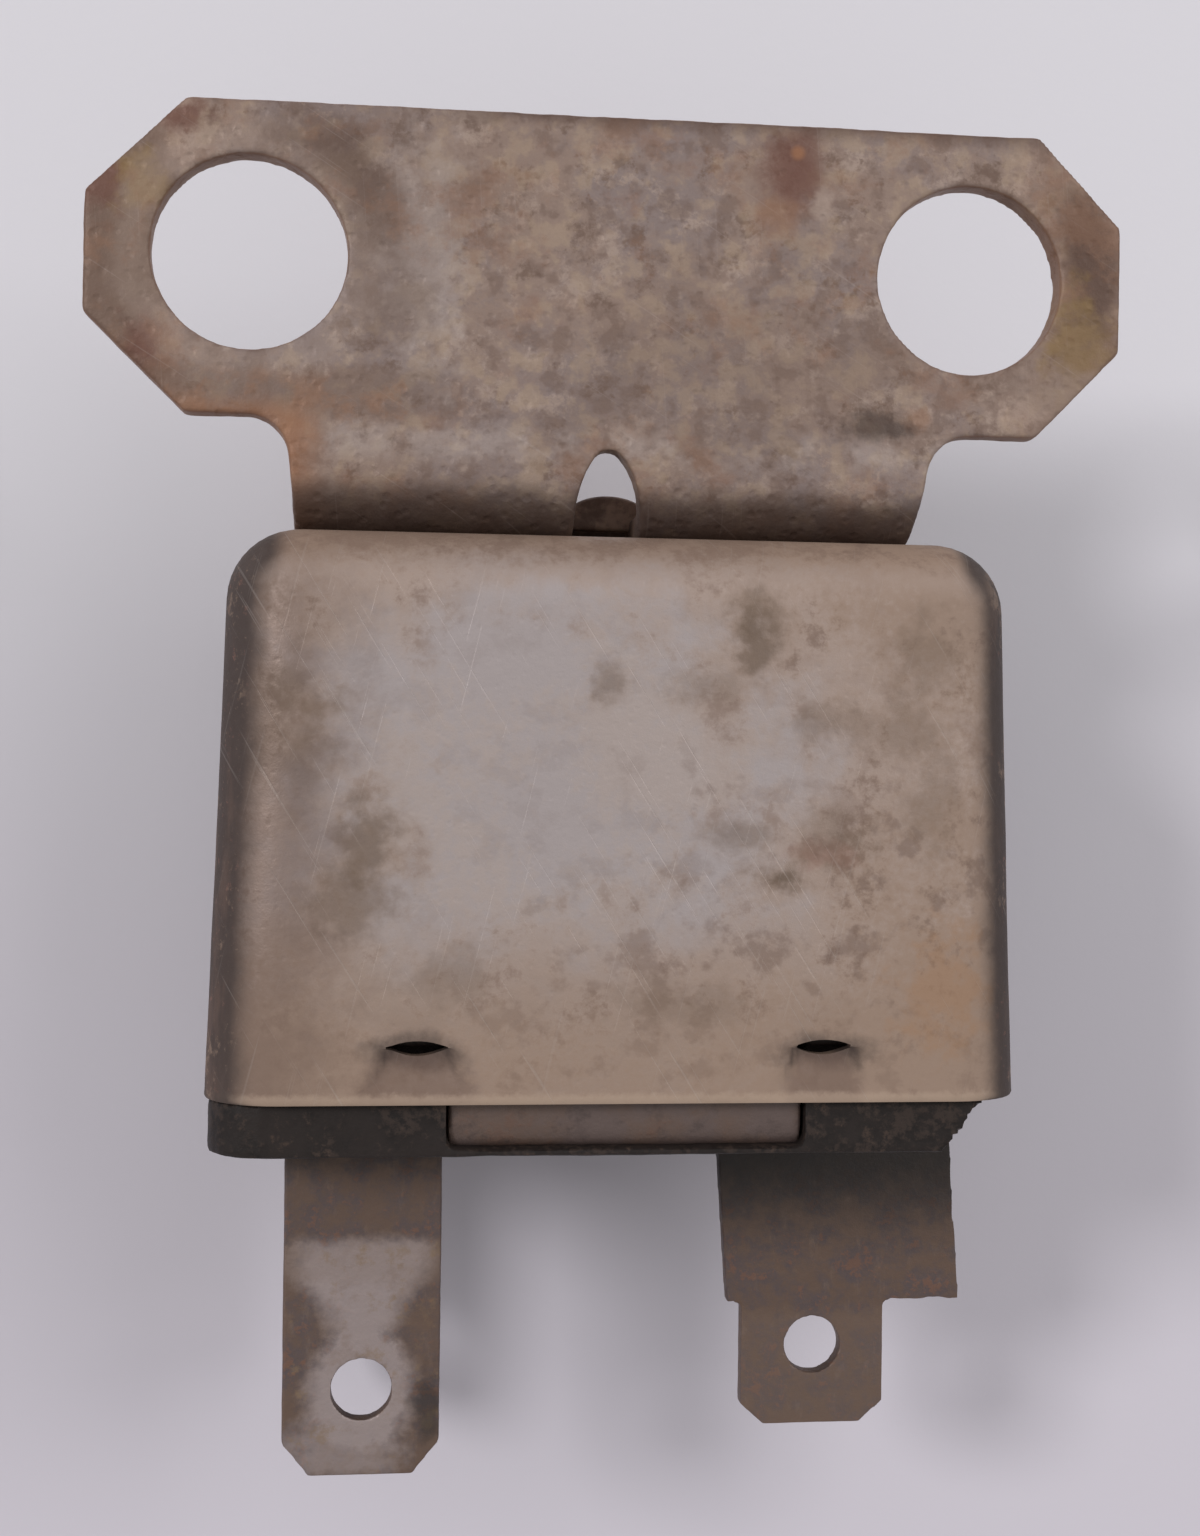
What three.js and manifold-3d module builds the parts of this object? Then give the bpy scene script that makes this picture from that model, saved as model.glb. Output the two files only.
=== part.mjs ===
// A metal-can relay with a sheet-steel mounting bracket and three blade terminals, lying on its back.
// Millimetres. X runs across the can, Y from the terminals up to the bracket, Z from the back to the front.
// The origin is under the middle of the whole part, on the surface that the can's back face lies on.
import * as THREE from "three";
import { mergeVertices } from "three/addons/utils/BufferGeometryUtils.js";
import { ConvexGeometry } from "three/addons/geometries/ConvexGeometry.js";
import Module from "manifold-3d";

const wasm = await Module();
wasm.setup();

// Clearances
const slip = 0.2; // round a shank, a core or a wire
const seat = 0.3; // between moulded, drawn and sheet parts

// Drawn can
const canX = 0.3;
const canRimWidth = 32.06;
const canDepth = 24;
const canHeight = 21.8;
const canClosedY = 10.44;
const canWall = 0.6;
const canDraft = THREE.MathUtils.degToRad(2);
const canCornerRadius = 3;
const canEndRadius = 2.7;
const canRimY = canClosedY - canHeight;

// Lanced crimps in the can's front face
const crimpXs = [-7.55, 8.05];
const crimpSlitWidth = 2.4;
const crimpSlitHeight = 0.6;
const crimpRimWidth = 4.7;
const crimpHeight = 1.75;
const crimpPress = 0.6;

// Mounting bracket
const sheet = 1.3;
const plateSetback = 3;
const plateHalfWidth = 20.65;
const plateTopY = 27.16;
const plateHeight = 12.3;
const earChamferLeft = [3.9, 3.8];
const earChamferRight = [3.5, 3.6];
const bracketHoleRadius = 3.72;
const bracketHoleSpacing = 28.66;
const bracketHoleY = 21.2;
const neckHalfWidth = 12.85;
const neckFillet = 1.5;
const bendRadius = 2.5;
const footLength = 14.5;
const piercedX = -0.2;
const piercedHalfWidth = 1.25;
const piercedTipY = 13.9;
const piercedShoulderIn = 0.18;
const piercedShoulderDrop = 1;
const piercedRise = 2.2;
const piercedDepth = 4.6;
const lipHalfWidth = 1;
const lipTopY = 12.6;
const lipThickness = 0.6;

// Moulded base
const baseBelowRim = 2.14;
const baseThickness = 4.9;
const baseFloor = 0.45;
const breakAtRim = 1.3;
const breakAtBottom = 3.2;
const breakDepth = 11.4;
const flangeInsetX = 0.2;
const flangeInsetZ = 0.6;

// Yoke and core
const yokeThickness = 1.6;
const yokeHalfWidth = 6.59;
const yokeX = 0.51;
const legClearance = 0.7;
const yokeFootRearZ = 4.8;
const yokeTopY = 3.5;
const earReach = 6.6;
const earHalfWidth = 3.2;
const coreRadius = 3.2;
const coreSpigotRadius = 1.8;
const corePeenRadius = 2.6;
const corePeenHeight = 0.7;
const poleRadius = 4.2;
const poleHeight = 0.8;

// Coil
const bobbinTube = 0.8;
const bobbinFlange = 0.9;
const bobbinFlangeRadius = 8;
const windingDepth = 2.6;
const wrapThickness = 0.3;
const leadRadius = 0.28;

// Armature, its blade and the contacts
const armatureThickness = 1.5;
const pivotGap = 0.3;
const poleGap = 1;
const armatureRearZ = 3.5;
const lugWidth = 1.8;
const lugHeight = 2.2;
const bladeThickness = 0.4;
const bladeWidth = 4.5;
const bladeEndX = -13;
const contactX = -10.2;
const contactZ = 5.6;
const contactRadius = 1.5;
const contactStem = 0.8;
const contactHead = 1.3;
const contactTip = 1.2;
const contactGap = 1.05;
const armThickness = 0.8;
const armX = -13.8;
const leafThickness = 0.3;
const leafHalfWidth = 4.5;
const leafReach = 5.2;
const leafDrop = 6.6;
const stopThickness = 0.8;
const stopHalfWidth = 2;
const stopSocket = 2.8;

// Blade terminals and rivets
const tabWidth = 6.35;
const tabThickness = 0.8;
const tabEndY = -plateTopY;
const loadTabChamfer = [1.1, 1.35];
const tabChamfer = [1.05, 0.95];
const tabHoleRadius = 1.2;
const tabHoleFromEnd = 3.48;
const loadTabX = -9.5;
const loadTabFrontZ = 18.4;
const loadFlange = 6.8;
const batteryTabX = 10.05;
const batteryTabFrontZ = 13.5;
const batteryFlange = 7.5;
const batteryShankWidth = 10.4;
const batteryShankShift = 0.8;
const batteryShankHeight = 8.35;
const batteryShankLean = 0.6;
const switchTabX = -12.3;
const switchTabRearZ = 4;
const switchFlange = 6.6;
const rivetRadius = 1.1;
const rivetHeadRadius = 1.7;
const rivetHeadHeight = 0.65;
const pinRadius = 0.7;
const pinHeadRadius = 1.1;
const pinHeadHeight = 0.5;
const studHeight = 0.2;

// Worked out from the sizes above
const canInnerRimHalf = canRimWidth / 2 - canWall;
const plateFrontZ = canDepth - plateSetback;
const plateBottomY = plateTopY - plateHeight;
const baseBottomY = canRimY - baseBelowRim;
const baseTopY = baseBottomY + baseThickness;
const plugHalfWidth = canInnerRimHalf - seat;
const plugFrontZ = canDepth - canWall - seat;
const flangeHalfWidth = canRimWidth / 2 - flangeInsetX;
const flangeFrontZ = canDepth - flangeInsetZ;
const flangeEndX = canX + flangeHalfWidth;
const footBottomY = baseBottomY + baseFloor;
const footTopY = footBottomY + yokeThickness;
const coreZ = canDepth / 2;
const yokeFrontZ = canDepth - canWall - legClearance;
const legInnerZ = yokeFrontZ - yokeThickness;
const armatureBottomY = yokeTopY + pivotGap;
const armatureTopY = armatureBottomY + armatureThickness;
const poleFaceY = armatureBottomY - poleGap;
const bobbinBottomY = footTopY + seat;
const bobbinTopY = poleFaceY - poleHeight - seat;
const windingBottomY = bobbinBottomY + bobbinFlange;
const windingTopY = bobbinTopY - bobbinFlange;
const bobbinBore = coreRadius + slip;
const windingInner = bobbinBore + bobbinTube + slip;
const windingOuter = windingInner + windingDepth;
const wrapInner = windingOuter + slip;
const wrapOuter = wrapInner + wrapThickness;
const movingContactY = armatureTopY - contactTip;
const fixedContactY = movingContactY - contactGap;
const armTopY = fixedContactY - contactTip;
const loadRivetZ = loadTabFrontZ - loadFlange / 2 - 0.2;
const batteryRivetX = yokeX + yokeHalfWidth + earReach / 2;
const batteryRivetZ = batteryTabFrontZ - batteryFlange / 2 - 0.2;
const switchRivetX = switchTabX + switchFlange / 2 + 0.3;
const switchRivetZ = switchTabRearZ + tabWidth / 2;
const flangeBottomY = baseBottomY - tabThickness;

// ---------- Helpers: three.js makes the shapes, manifold-3d joins and cuts them ----------

// A closed geometry as a manifold-3d solid.
function solid(geometry) {
  const bare = geometry.clone();
  bare.deleteAttribute("normal");
  bare.deleteAttribute("uv");
  const merged = mergeVertices(bare, 1e-5);
  const vertProperties = Float32Array.from(merged.attributes.position.array);
  const triangles = [];
  for (let i = 0; i < merged.index.count; i += 3) {
    const [a, b, c] = merged.index.array.slice(i, i + 3);
    if (a !== b && b !== c && c !== a) triangles.push(a, b, c);
  }
  const triVerts = Uint32Array.from(triangles);
  return new wasm.Manifold(new wasm.Mesh({ numProp: 3, vertProperties, triVerts }));
}

// A manifold-3d solid as a three.js geometry.
function geometryOf(body) {
  const mesh = body.getMesh();
  const geometry = new THREE.BufferGeometry();
  geometry.setAttribute("position", new THREE.BufferAttribute(mesh.vertProperties, 3));
  geometry.setIndex(new THREE.BufferAttribute(mesh.triVerts, 1));
  geometry.computeVertexNormals();
  return geometry;
}

function box(x0, x1, y0, y1, z0, z1) {
  const geometry = new THREE.BoxGeometry(x1 - x0, y1 - y0, z1 - z0);
  geometry.translate((x0 + x1) / 2, (y0 + y1) / 2, (z0 + z1) / 2);
  return solid(geometry);
}

// A shape drawn in (x, y), (y, z) or (z, x), extruded along the axis that is left over.
function extrude(axis, shape, from, to, curveSegments = 8) {
  const geometry = new THREE.ExtrudeGeometry(shape, {
    depth: to - from,
    bevelEnabled: false,
    curveSegments,
  });
  geometry.translate(0, 0, from);
  const x = new THREE.Vector3(1, 0, 0);
  const y = new THREE.Vector3(0, 1, 0);
  const z = new THREE.Vector3(0, 0, 1);
  const bases = { x: [y, z, x], y: [z, x, y], z: [x, y, z] };
  geometry.applyMatrix4(new THREE.Matrix4().makeBasis(...bases[axis]));
  return solid(geometry);
}

function outline(points) {
  return new THREE.Shape(points.map(([u, v]) => new THREE.Vector2(u, v)));
}

function disc(u, v, radius) {
  const shape = new THREE.Shape();
  shape.absarc(u, v, radius, 0, 2 * Math.PI);
  return shape;
}

// A turned piece about an upright line at (x, z), from its profile of [radius, y] going upwards outside.
function turned(profile, x, z, segments = 24) {
  const points = profile.map(([radius, y]) => new THREE.Vector2(radius, y));
  const geometry = new THREE.LatheGeometry(points, segments);
  geometry.translate(x, 0, z);
  return solid(geometry);
}

// A ring about an upright line.
function ring(inner, outer, y0, y1, x, z, segments = 32) {
  const profile = [
    [inner, y0],
    [outer, y0],
    [outer, y1],
    [inner, y1],
    [inner, y0],
  ];
  return turned(profile, x, z, segments);
}

// One loop of points round a rounded rectangle, counterclockwise about +Y.
function roundedLoop(y, halfX, halfZ, radius, centreX, centreZ, steps) {
  const corners = [
    [1, 1, 0],
    [1, -1, 1],
    [-1, -1, 2],
    [-1, 1, 3],
  ];
  const points = [];
  for (const [signX, signZ, quarter] of corners) {
    for (let i = 0; i <= steps; i++) {
      const angle = (quarter + i / steps) * (Math.PI / 2);
      const x = centreX + signX * (halfX - radius) + radius * Math.sin(angle);
      const z = centreZ + signZ * (halfZ - radius) + radius * Math.cos(angle);
      points.push(new THREE.Vector3(x, y, z));
    }
  }
  return points;
}

// Walls between successive loops, closed by a fan at each end.
function loft(loops) {
  const position = [];
  const index = [];
  const count = loops[0].length;
  for (const loop of loops) for (const p of loop) position.push(p.x, p.y, p.z);
  for (let j = 0; j + 1 < loops.length; j++) {
    for (let i = 0; i < count; i++) {
      const a = j * count + i;
      const b = j * count + ((i + 1) % count);
      index.push(a, b, b + count);
      index.push(a, b + count, a + count);
    }
  }
  for (const [loop, first, flip] of [
    [loops[0], 0, true],
    [loops[loops.length - 1], (loops.length - 1) * count, false],
  ]) {
    const middle = position.length / 3;
    const centre = loop.reduce((sum, p) => sum.add(p), new THREE.Vector3()).divideScalar(count);
    position.push(centre.x, centre.y, centre.z);
    for (let i = 0; i < count; i++) {
      const a = first + i;
      const b = first + ((i + 1) % count);
      index.push(middle, flip ? b : a, flip ? a : b);
    }
  }
  const geometry = new THREE.BufferGeometry();
  geometry.setAttribute("position", new THREE.Float32BufferAttribute(position, 3));
  geometry.setIndex(index);
  return solid(geometry);
}

function hull(points) {
  return solid(new ConvexGeometry(points.map((p) => new THREE.Vector3(...p))));
}

// A wire through the points given, with round ends left flat.
function wire(points, radius) {
  const path = new THREE.CatmullRomCurve3(points.map((p) => new THREE.Vector3(...p)));
  const section = new THREE.Shape();
  section.absarc(0, 0, radius, 0, 2 * Math.PI);
  const geometry = new THREE.ExtrudeGeometry(section, { steps: 10, extrudePath: path, curveSegments: 4 });
  return solid(geometry);
}

const group = new THREE.Group();

function addPiece(name, body, color, roughness, metalness) {
  const material = new THREE.MeshStandardMaterial({ color, roughness, metalness });
  const mesh = new THREE.Mesh(geometryOf(body), material);
  mesh.name = name;
  group.add(mesh);
}

const finish = {
  canSteel: [0x9a9489, 0.62, 0.6],
  bracketSteel: [0x7a7066, 0.7, 0.55],
  phenolic: [0x2a2524, 0.6, 0],
  iron: [0x6d665f, 0.55, 0.7],
  brass: [0x76695a, 0.6, 0.6],
  bronze: [0xa07b45, 0.45, 0.8],
  copper: [0x9a5a34, 0.4, 0.8],
  moulded: [0x5b4a38, 0.6, 0],
  tape: [0x6b3a26, 0.7, 0],
  silver: [0xb9b6ae, 0.35, 0.9],
};

// ---------- Can ----------

// The can's skin pushed in by the amount given, from the rim (or below it) up to the closed end.
function canSkin(inset, bottomY) {
  const corner = canCornerRadius - inset;
  const edge = canEndRadius - inset;
  const topY = canClosedY - inset;
  const halfXAt = (y) => canRimWidth / 2 - inset - (y - canRimY) * Math.tan(canDraft);
  const halfZ = canDepth / 2 - inset;
  const middle = [canX, canDepth / 2, 5];
  const loops = [roundedLoop(bottomY, halfXAt(bottomY), halfZ, corner, ...middle)];
  const arcSteps = 6;
  for (let i = 0; i <= arcSteps; i++) {
    const angle = (i / arcSteps) * (Math.PI / 2);
    const pull = edge * (1 - Math.cos(angle));
    const y = topY - edge + edge * Math.sin(angle);
    const radius = Math.max(corner - pull, 0.4);
    loops.push(roundedLoop(y, halfXAt(y) - pull, halfZ - pull, radius, ...middle));
  }
  return loft(loops);
}

// The wedge between a skin at frontZ and the tongue pressed in behind it, deepest at the slit.
function crimpWedge(x, frontZ, out) {
  const slitHalf = crimpSlitWidth / 2;
  const rimHalf = crimpRimWidth / 2;
  const slitY = canRimY + crimpHeight;
  const points = [];
  for (const side of [-1, 1]) {
    points.push([x + side * slitHalf, slitY, frontZ - crimpPress]);
    points.push([x + side * slitHalf, slitY, frontZ + out]);
    points.push([x + side * rimHalf, canRimY, frontZ]);
    points.push([x + side * rimHalf, canRimY, frontZ + out]);
  }
  return hull(points);
}

function makeCan() {
  let can = canSkin(0, canRimY).subtract(canSkin(canWall, canRimY - 1));
  for (const x of crimpXs) {
    const slitY = canRimY + crimpHeight;
    const slitBackZ = canDepth - canWall - crimpPress - seat;
    const half = crimpSlitWidth / 2;
    can = can.add(crimpWedge(x, canDepth - canWall, canWall / 4));
    can = can.subtract(crimpWedge(x, canDepth, 1));
    can = can.subtract(box(x - half, x + half, slitY, slitY + crimpSlitHeight, slitBackZ, canDepth + 1));
  }
  return can;
}

// ---------- Mounting bracket ----------

function bracketOutline() {
  const [leftX, leftY] = earChamferLeft;
  const [rightX, rightY] = earChamferRight;
  const half = plateHalfWidth;
  const startY = canClosedY + bendRadius;
  const shape = new THREE.Shape();
  shape.moveTo(-neckHalfWidth, startY);
  shape.lineTo(neckHalfWidth, startY);
  shape.lineTo(neckHalfWidth, plateBottomY - neckFillet);
  shape.absarc(neckHalfWidth + neckFillet, plateBottomY - neckFillet, neckFillet, Math.PI, Math.PI / 2, true);
  shape.lineTo(half - rightX, plateBottomY);
  shape.lineTo(half, plateBottomY + rightY);
  shape.lineTo(half, plateTopY - rightY);
  shape.lineTo(half - rightX, plateTopY);
  shape.lineTo(leftX - half, plateTopY);
  shape.lineTo(-half, plateTopY - leftY);
  shape.lineTo(-half, plateBottomY + leftY);
  shape.lineTo(leftX - half, plateBottomY);
  shape.lineTo(-neckHalfWidth - neckFillet, plateBottomY);
  shape.absarc(-neckHalfWidth - neckFillet, plateBottomY - neckFillet, neckFillet, Math.PI / 2, 0, true);
  return shape;
}

// The bend and the foot that is welded to the can's closed end, seen from the side in (y, z).
function bendOutline() {
  const centreY = canClosedY + bendRadius;
  const centreZ = plateFrontZ - bendRadius;
  const footEndZ = plateFrontZ - footLength;
  const shape = new THREE.Shape();
  shape.moveTo(centreY + 0.2, plateFrontZ);
  shape.lineTo(centreY, plateFrontZ);
  shape.absarc(centreY, centreZ, bendRadius, Math.PI / 2, Math.PI);
  shape.lineTo(canClosedY, footEndZ);
  shape.lineTo(canClosedY + sheet, footEndZ);
  shape.lineTo(canClosedY + sheet, centreZ);
  shape.absarc(centreY, centreZ, bendRadius - sheet, Math.PI, Math.PI / 2, true);
  shape.lineTo(centreY + 0.2, plateFrontZ - sheet);
  return shape;
}

// The hole pierced through the bend: round at the tip, wide at the bend.
function piercedOutline() {
  const shape = new THREE.Shape();
  const x0 = piercedX - piercedHalfWidth;
  const x1 = piercedX + piercedHalfWidth;
  const wideY = piercedTipY - piercedRise;
  const shoulderY = piercedTipY - piercedShoulderDrop;
  const tipHalf = 0.4;
  shape.moveTo(x0, canClosedY - 1);
  shape.lineTo(x1, canClosedY - 1);
  shape.lineTo(x1, wideY);
  shape.quadraticCurveTo(x1 - piercedShoulderIn, shoulderY, piercedX + tipHalf, piercedTipY - 0.12);
  shape.quadraticCurveTo(piercedX, piercedTipY + 0.12, piercedX - tipHalf, piercedTipY - 0.12);
  shape.quadraticCurveTo(x0 + piercedShoulderIn, shoulderY, x0, wideY);
  return shape;
}

// The lip that the piercing punch turned up on the foot, at the far edge of the hole.
function lipOutline() {
  const shape = new THREE.Shape();
  shape.moveTo(piercedX - lipHalfWidth, canClosedY + sheet / 2);
  shape.lineTo(piercedX + lipHalfWidth, canClosedY + sheet / 2);
  shape.absarc(piercedX, lipTopY - lipHalfWidth, lipHalfWidth, 0, Math.PI);
  return shape;
}

function makeBracket() {
  const plate = extrude("z", bracketOutline(), plateFrontZ - sheet, plateFrontZ, 10);
  const bend = extrude("x", bendOutline(), -neckHalfWidth, neckHalfWidth, 10);
  let bracket = plate.add(bend);
  for (const side of [-1, 1]) {
    const hole = disc((side * bracketHoleSpacing) / 2, bracketHoleY, bracketHoleRadius);
    bracket = bracket.subtract(extrude("z", hole, plateFrontZ - sheet - 1, plateFrontZ + 1, 24));
  }
  const pierced = extrude("z", piercedOutline(), plateFrontZ - piercedDepth, plateFrontZ + 1, 6);
  const lipFrontZ = plateFrontZ - piercedDepth + lipThickness / 2;
  const lip = extrude("z", lipOutline(), lipFrontZ - lipThickness, lipFrontZ, 8);
  return bracket.subtract(pierced).add(lip);
}

// ---------- Moulded base ----------

// A plain hole through the base, upright at (x, z).
function uprightHole(x, z, radius, y0 = baseBottomY - 1, y1 = baseTopY + 1) {
  return extrude("y", disc(z, x, radius), y0, y1, 12);
}

function makeBase() {
  const middleZ = canDepth / 2;
  const corner = canCornerRadius - canWall - seat;
  // the flange under the can's rim, and the plug that fits inside the can
  let base = loft([
    roundedLoop(baseBottomY, flangeHalfWidth, middleZ - flangeInsetZ, corner, canX, middleZ, 4),
    roundedLoop(canRimY, flangeHalfWidth, middleZ - flangeInsetZ, corner, canX, middleZ, 4),
  ]);
  const plug = loft([
    roundedLoop(canRimY - 1, plugHalfWidth, plugFrontZ - middleZ, corner, canX, middleZ, 4),
    roundedLoop(baseTopY, plugHalfWidth, plugFrontZ - middleZ, corner, canX, middleZ, 4),
  ]);
  base = base.add(plug);
  // the flange's front right corner has broken off
  const breakOutline = [
    [flangeEndX - breakAtRim, canRimY - 0.1],
    [flangeEndX - breakAtBottom, baseBottomY - 0.1],
    [flangeEndX + 1, baseBottomY - 0.1],
    [flangeEndX + 1, canRimY - 0.1],
  ];
  base = base.subtract(extrude("z", outline(breakOutline), flangeFrontZ - breakDepth, flangeFrontZ + 1));
  // the well that the yoke's foot and its ear lie in
  const wellX0 = yokeX - yokeHalfWidth - seat;
  const wellX1 = yokeX + yokeHalfWidth + seat;
  const wellZ0 = yokeFootRearZ - seat;
  base = base.subtract(box(wellX0, wellX1, footBottomY, baseTopY + 1, wellZ0, flangeFrontZ + 1));
  const earX1 = yokeX + yokeHalfWidth + earReach + seat;
  const earZ0 = batteryRivetZ - earHalfWidth - seat;
  const earZ1 = batteryRivetZ + earHalfWidth + seat;
  base = base.subtract(box(wellX1 - 1, earX1, footBottomY, baseTopY + 1, earZ0, earZ1));
  // the round well for the bobbin's lower flange
  base = base.subtract(uprightHole(yokeX, coreZ, bobbinFlangeRadius + seat, footTopY));
  // holes for the core's peened end and the rivets
  base = base.subtract(uprightHole(yokeX, coreZ, corePeenRadius + seat));
  for (const [x, z] of rivetPlaces) base = base.subtract(uprightHole(x, z, rivetRadius + slip));
  // pockets that the can's crimps press into, and the socket of the back stop
  for (const x of crimpXs) {
    const half = crimpRimWidth / 2 + seat;
    const pocketZ = plugFrontZ - crimpPress;
    const pocketTop = canRimY + crimpHeight + seat;
    base = base.subtract(box(x - half, x + half, canRimY, pocketTop, pocketZ, plugFrontZ + 1));
  }
  const socketX0 = yokeX - stopHalfWidth - seat;
  const socketX1 = yokeX + stopHalfWidth + seat;
  const socketZ1 = stopRearZ + stopThickness + seat;
  const socketY = baseTopY - stopSocket - seat;
  return base.subtract(box(socketX0, socketX1, socketY, baseTopY + 1, stopRearZ - seat, socketZ1));
}

// ---------- Yoke, core and coil ----------

const yokeRivetXs = [yokeX - 4.6, yokeX + 4.6];
const yokeRivetZ = legInnerZ - 2.6;
const rivetPlaces = [
  [loadTabX, loadRivetZ],
  [batteryRivetX, batteryRivetZ],
  [switchRivetX, switchRivetZ],
  ...yokeRivetXs.map((x) => [x, yokeRivetZ]),
];
const leafPinXs = [yokeX - 2.8, yokeX + 2.8];
const leafPinY = armatureBottomY - leafDrop + 1.3;
const leafPinZ = legInnerZ - leafReach + 1.2;
const stopRearZ = canWall + 1.4;

function makeYoke() {
  const round = 0.7;
  const shape = new THREE.Shape();
  shape.moveTo(footBottomY, yokeFootRearZ);
  shape.lineTo(footTopY, yokeFootRearZ);
  shape.lineTo(footTopY, legInnerZ);
  shape.lineTo(yokeTopY, legInnerZ);
  shape.lineTo(yokeTopY, yokeFrontZ);
  shape.lineTo(footBottomY + round, yokeFrontZ);
  shape.absarc(footBottomY + round, yokeFrontZ - round, round, Math.PI / 2, Math.PI);
  const x0 = yokeX - yokeHalfWidth;
  const x1 = yokeX + yokeHalfWidth;
  let yoke = extrude("x", shape, x0, x1, 4);
  // the ear that the battery terminal is riveted to
  const earZ0 = batteryRivetZ - earHalfWidth;
  const earZ1 = batteryRivetZ + earHalfWidth;
  yoke = yoke.add(box(x1 - 1, x1 + earReach, footBottomY, footTopY, earZ0, earZ1));
  // lugs that the armature is hooked over
  for (const x of [x0, x1 - lugWidth]) {
    yoke = yoke.add(box(x, x + lugWidth, yokeTopY - 1, yokeTopY + lugHeight, legInnerZ, yokeFrontZ));
  }
  yoke = yoke.subtract(uprightHole(yokeX, coreZ, coreSpigotRadius + slip));
  yoke = yoke.subtract(uprightHole(batteryRivetX, batteryRivetZ, rivetRadius + slip));
  for (const x of yokeRivetXs) yoke = yoke.subtract(uprightHole(x, yokeRivetZ, rivetRadius + slip));
  for (const x of leafPinXs) {
    const hole = extrude("z", disc(x, leafPinY, pinRadius + slip), legInnerZ - 1, yokeFrontZ + 1, 6);
    yoke = yoke.subtract(hole);
  }
  return yoke;
}

function makeCore() {
  const peenTopY = footBottomY;
  const profile = [
    [0, peenTopY - corePeenHeight],
    [corePeenRadius * 0.8, peenTopY - corePeenHeight],
    [corePeenRadius, peenTopY - corePeenHeight * 0.6],
    [corePeenRadius, peenTopY],
    [coreSpigotRadius, peenTopY],
    [coreSpigotRadius, footTopY],
    [coreRadius, footTopY],
    [coreRadius, poleFaceY - poleHeight],
    [poleRadius, poleFaceY - poleHeight],
    [poleRadius, poleFaceY],
    [0, poleFaceY],
  ];
  return turned(profile, yokeX, coreZ);
}

function makeBobbin() {
  const tube = bobbinBore + bobbinTube;
  const profile = [
    [bobbinBore, bobbinBottomY],
    [bobbinFlangeRadius, bobbinBottomY],
    [bobbinFlangeRadius, windingBottomY],
    [tube, windingBottomY],
    [tube, windingTopY],
    [bobbinFlangeRadius, windingTopY],
    [bobbinFlangeRadius, bobbinTopY],
    [bobbinBore, bobbinTopY],
    [bobbinBore, bobbinBottomY],
  ];
  return turned(profile, yokeX, coreZ, 32);
}

// A lead from the coil's wrap, at an angle about the core, to a point just over a rivet's head.
function makeLead(angle, wrapY, endX, endY, endZ) {
  const reach = wrapOuter + leadRadius + 0.1;
  const startX = yokeX + reach * Math.cos(angle);
  const startZ = coreZ + reach * Math.sin(angle);
  const middle = [(startX + endX) / 2, (wrapY + endY) / 2 + 0.5, (startZ + endZ) / 2];
  return wire([[startX, wrapY, startZ], middle, [endX, endY, endZ]], leadRadius);
}

// ---------- Armature, contacts and springs ----------

function makeArmature() {
  const x0 = yokeX - yokeHalfWidth;
  const x1 = yokeX + yokeHalfWidth;
  let armature = box(x0, x1, armatureBottomY, armatureTopY, armatureRearZ, yokeFrontZ);
  const notch = lugWidth + seat;
  const notchZ = legInnerZ - seat;
  for (const [a, b] of [
    [x0 - 1, x0 + notch],
    [x1 - notch, x1 + 1],
  ]) {
    armature = armature.subtract(box(a, b, armatureBottomY - 1, armatureTopY + 1, notchZ, yokeFrontZ + 1));
  }
  const holes = [
    [yokeX, coreZ],
    ...bladePinXs.map((x) => [x, contactZ]),
    ...leafPinXs.map((x) => [x, leafPinZ]),
  ];
  for (const [x, z] of holes) armature = armature.subtract(uprightHole(x, z, pinRadius + slip, 0, 9));
  return armature;
}

const bladePinXs = [yokeX - 4.8, yokeX + 4.4];

function makeBlade() {
  const z0 = contactZ - bladeWidth / 2;
  const x1 = bladePinXs[1] + 1.6;
  let blade = box(bladeEndX, x1, armatureTopY, armatureTopY + bladeThickness, z0, z0 + bladeWidth);
  for (const x of bladePinXs) blade = blade.subtract(uprightHole(x, contactZ, pinRadius + slip, 0, 9));
  return blade.subtract(uprightHole(contactX, contactZ, contactStem + slip, 0, 9));
}

// A contact rivet: the tip meets the other contact, and the stem is headed over on the far side of its strip.
// The strip lies from seatY to seatY + grip; up is 1 when the head is above it.
function makeContact(seatY, grip, up) {
  const tipY = seatY - up * contactTip;
  const headY = seatY + up * (grip + 0.4);
  const profile = [
    [0, tipY],
    [contactRadius * 0.8, tipY],
    [contactRadius, tipY + up * 0.25],
    [contactRadius, seatY],
    [contactStem, seatY],
    [contactStem, seatY + up * grip],
    [contactHead, seatY + up * grip],
    [contactHead * 0.8, headY],
    [0, headY],
  ];
  return turned(up > 0 ? profile : profile.reverse(), contactX, contactZ, 20);
}

function makeFixedArm() {
  const footY = baseTopY;
  const z0 = contactZ - 2.5;
  const z1 = contactZ + 2.5;
  const footX1 = loadTabX + 1.9;
  const footZ0 = loadRivetZ - 2.5;
  const footZ1 = loadRivetZ + 2.5;
  const footPlan = [
    [z0, armX],
    [footZ1, armX],
    [footZ1, footX1],
    [footZ0, footX1],
    [footZ0, armX + 2],
    [z0, armX + 2],
  ];
  let arm = extrude("y", outline(footPlan), footY, footY + armThickness);
  arm = arm.add(box(armX, armX + armThickness, footY, armTopY, z0, z1));
  arm = arm.add(box(armX, contactX + 1.8, armTopY - armThickness, armTopY, z0, z1));
  arm = arm.subtract(uprightHole(contactX, contactZ, contactStem + slip, 0, 9));
  return arm.subtract(uprightHole(loadTabX, loadRivetZ, rivetRadius + slip));
}

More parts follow.
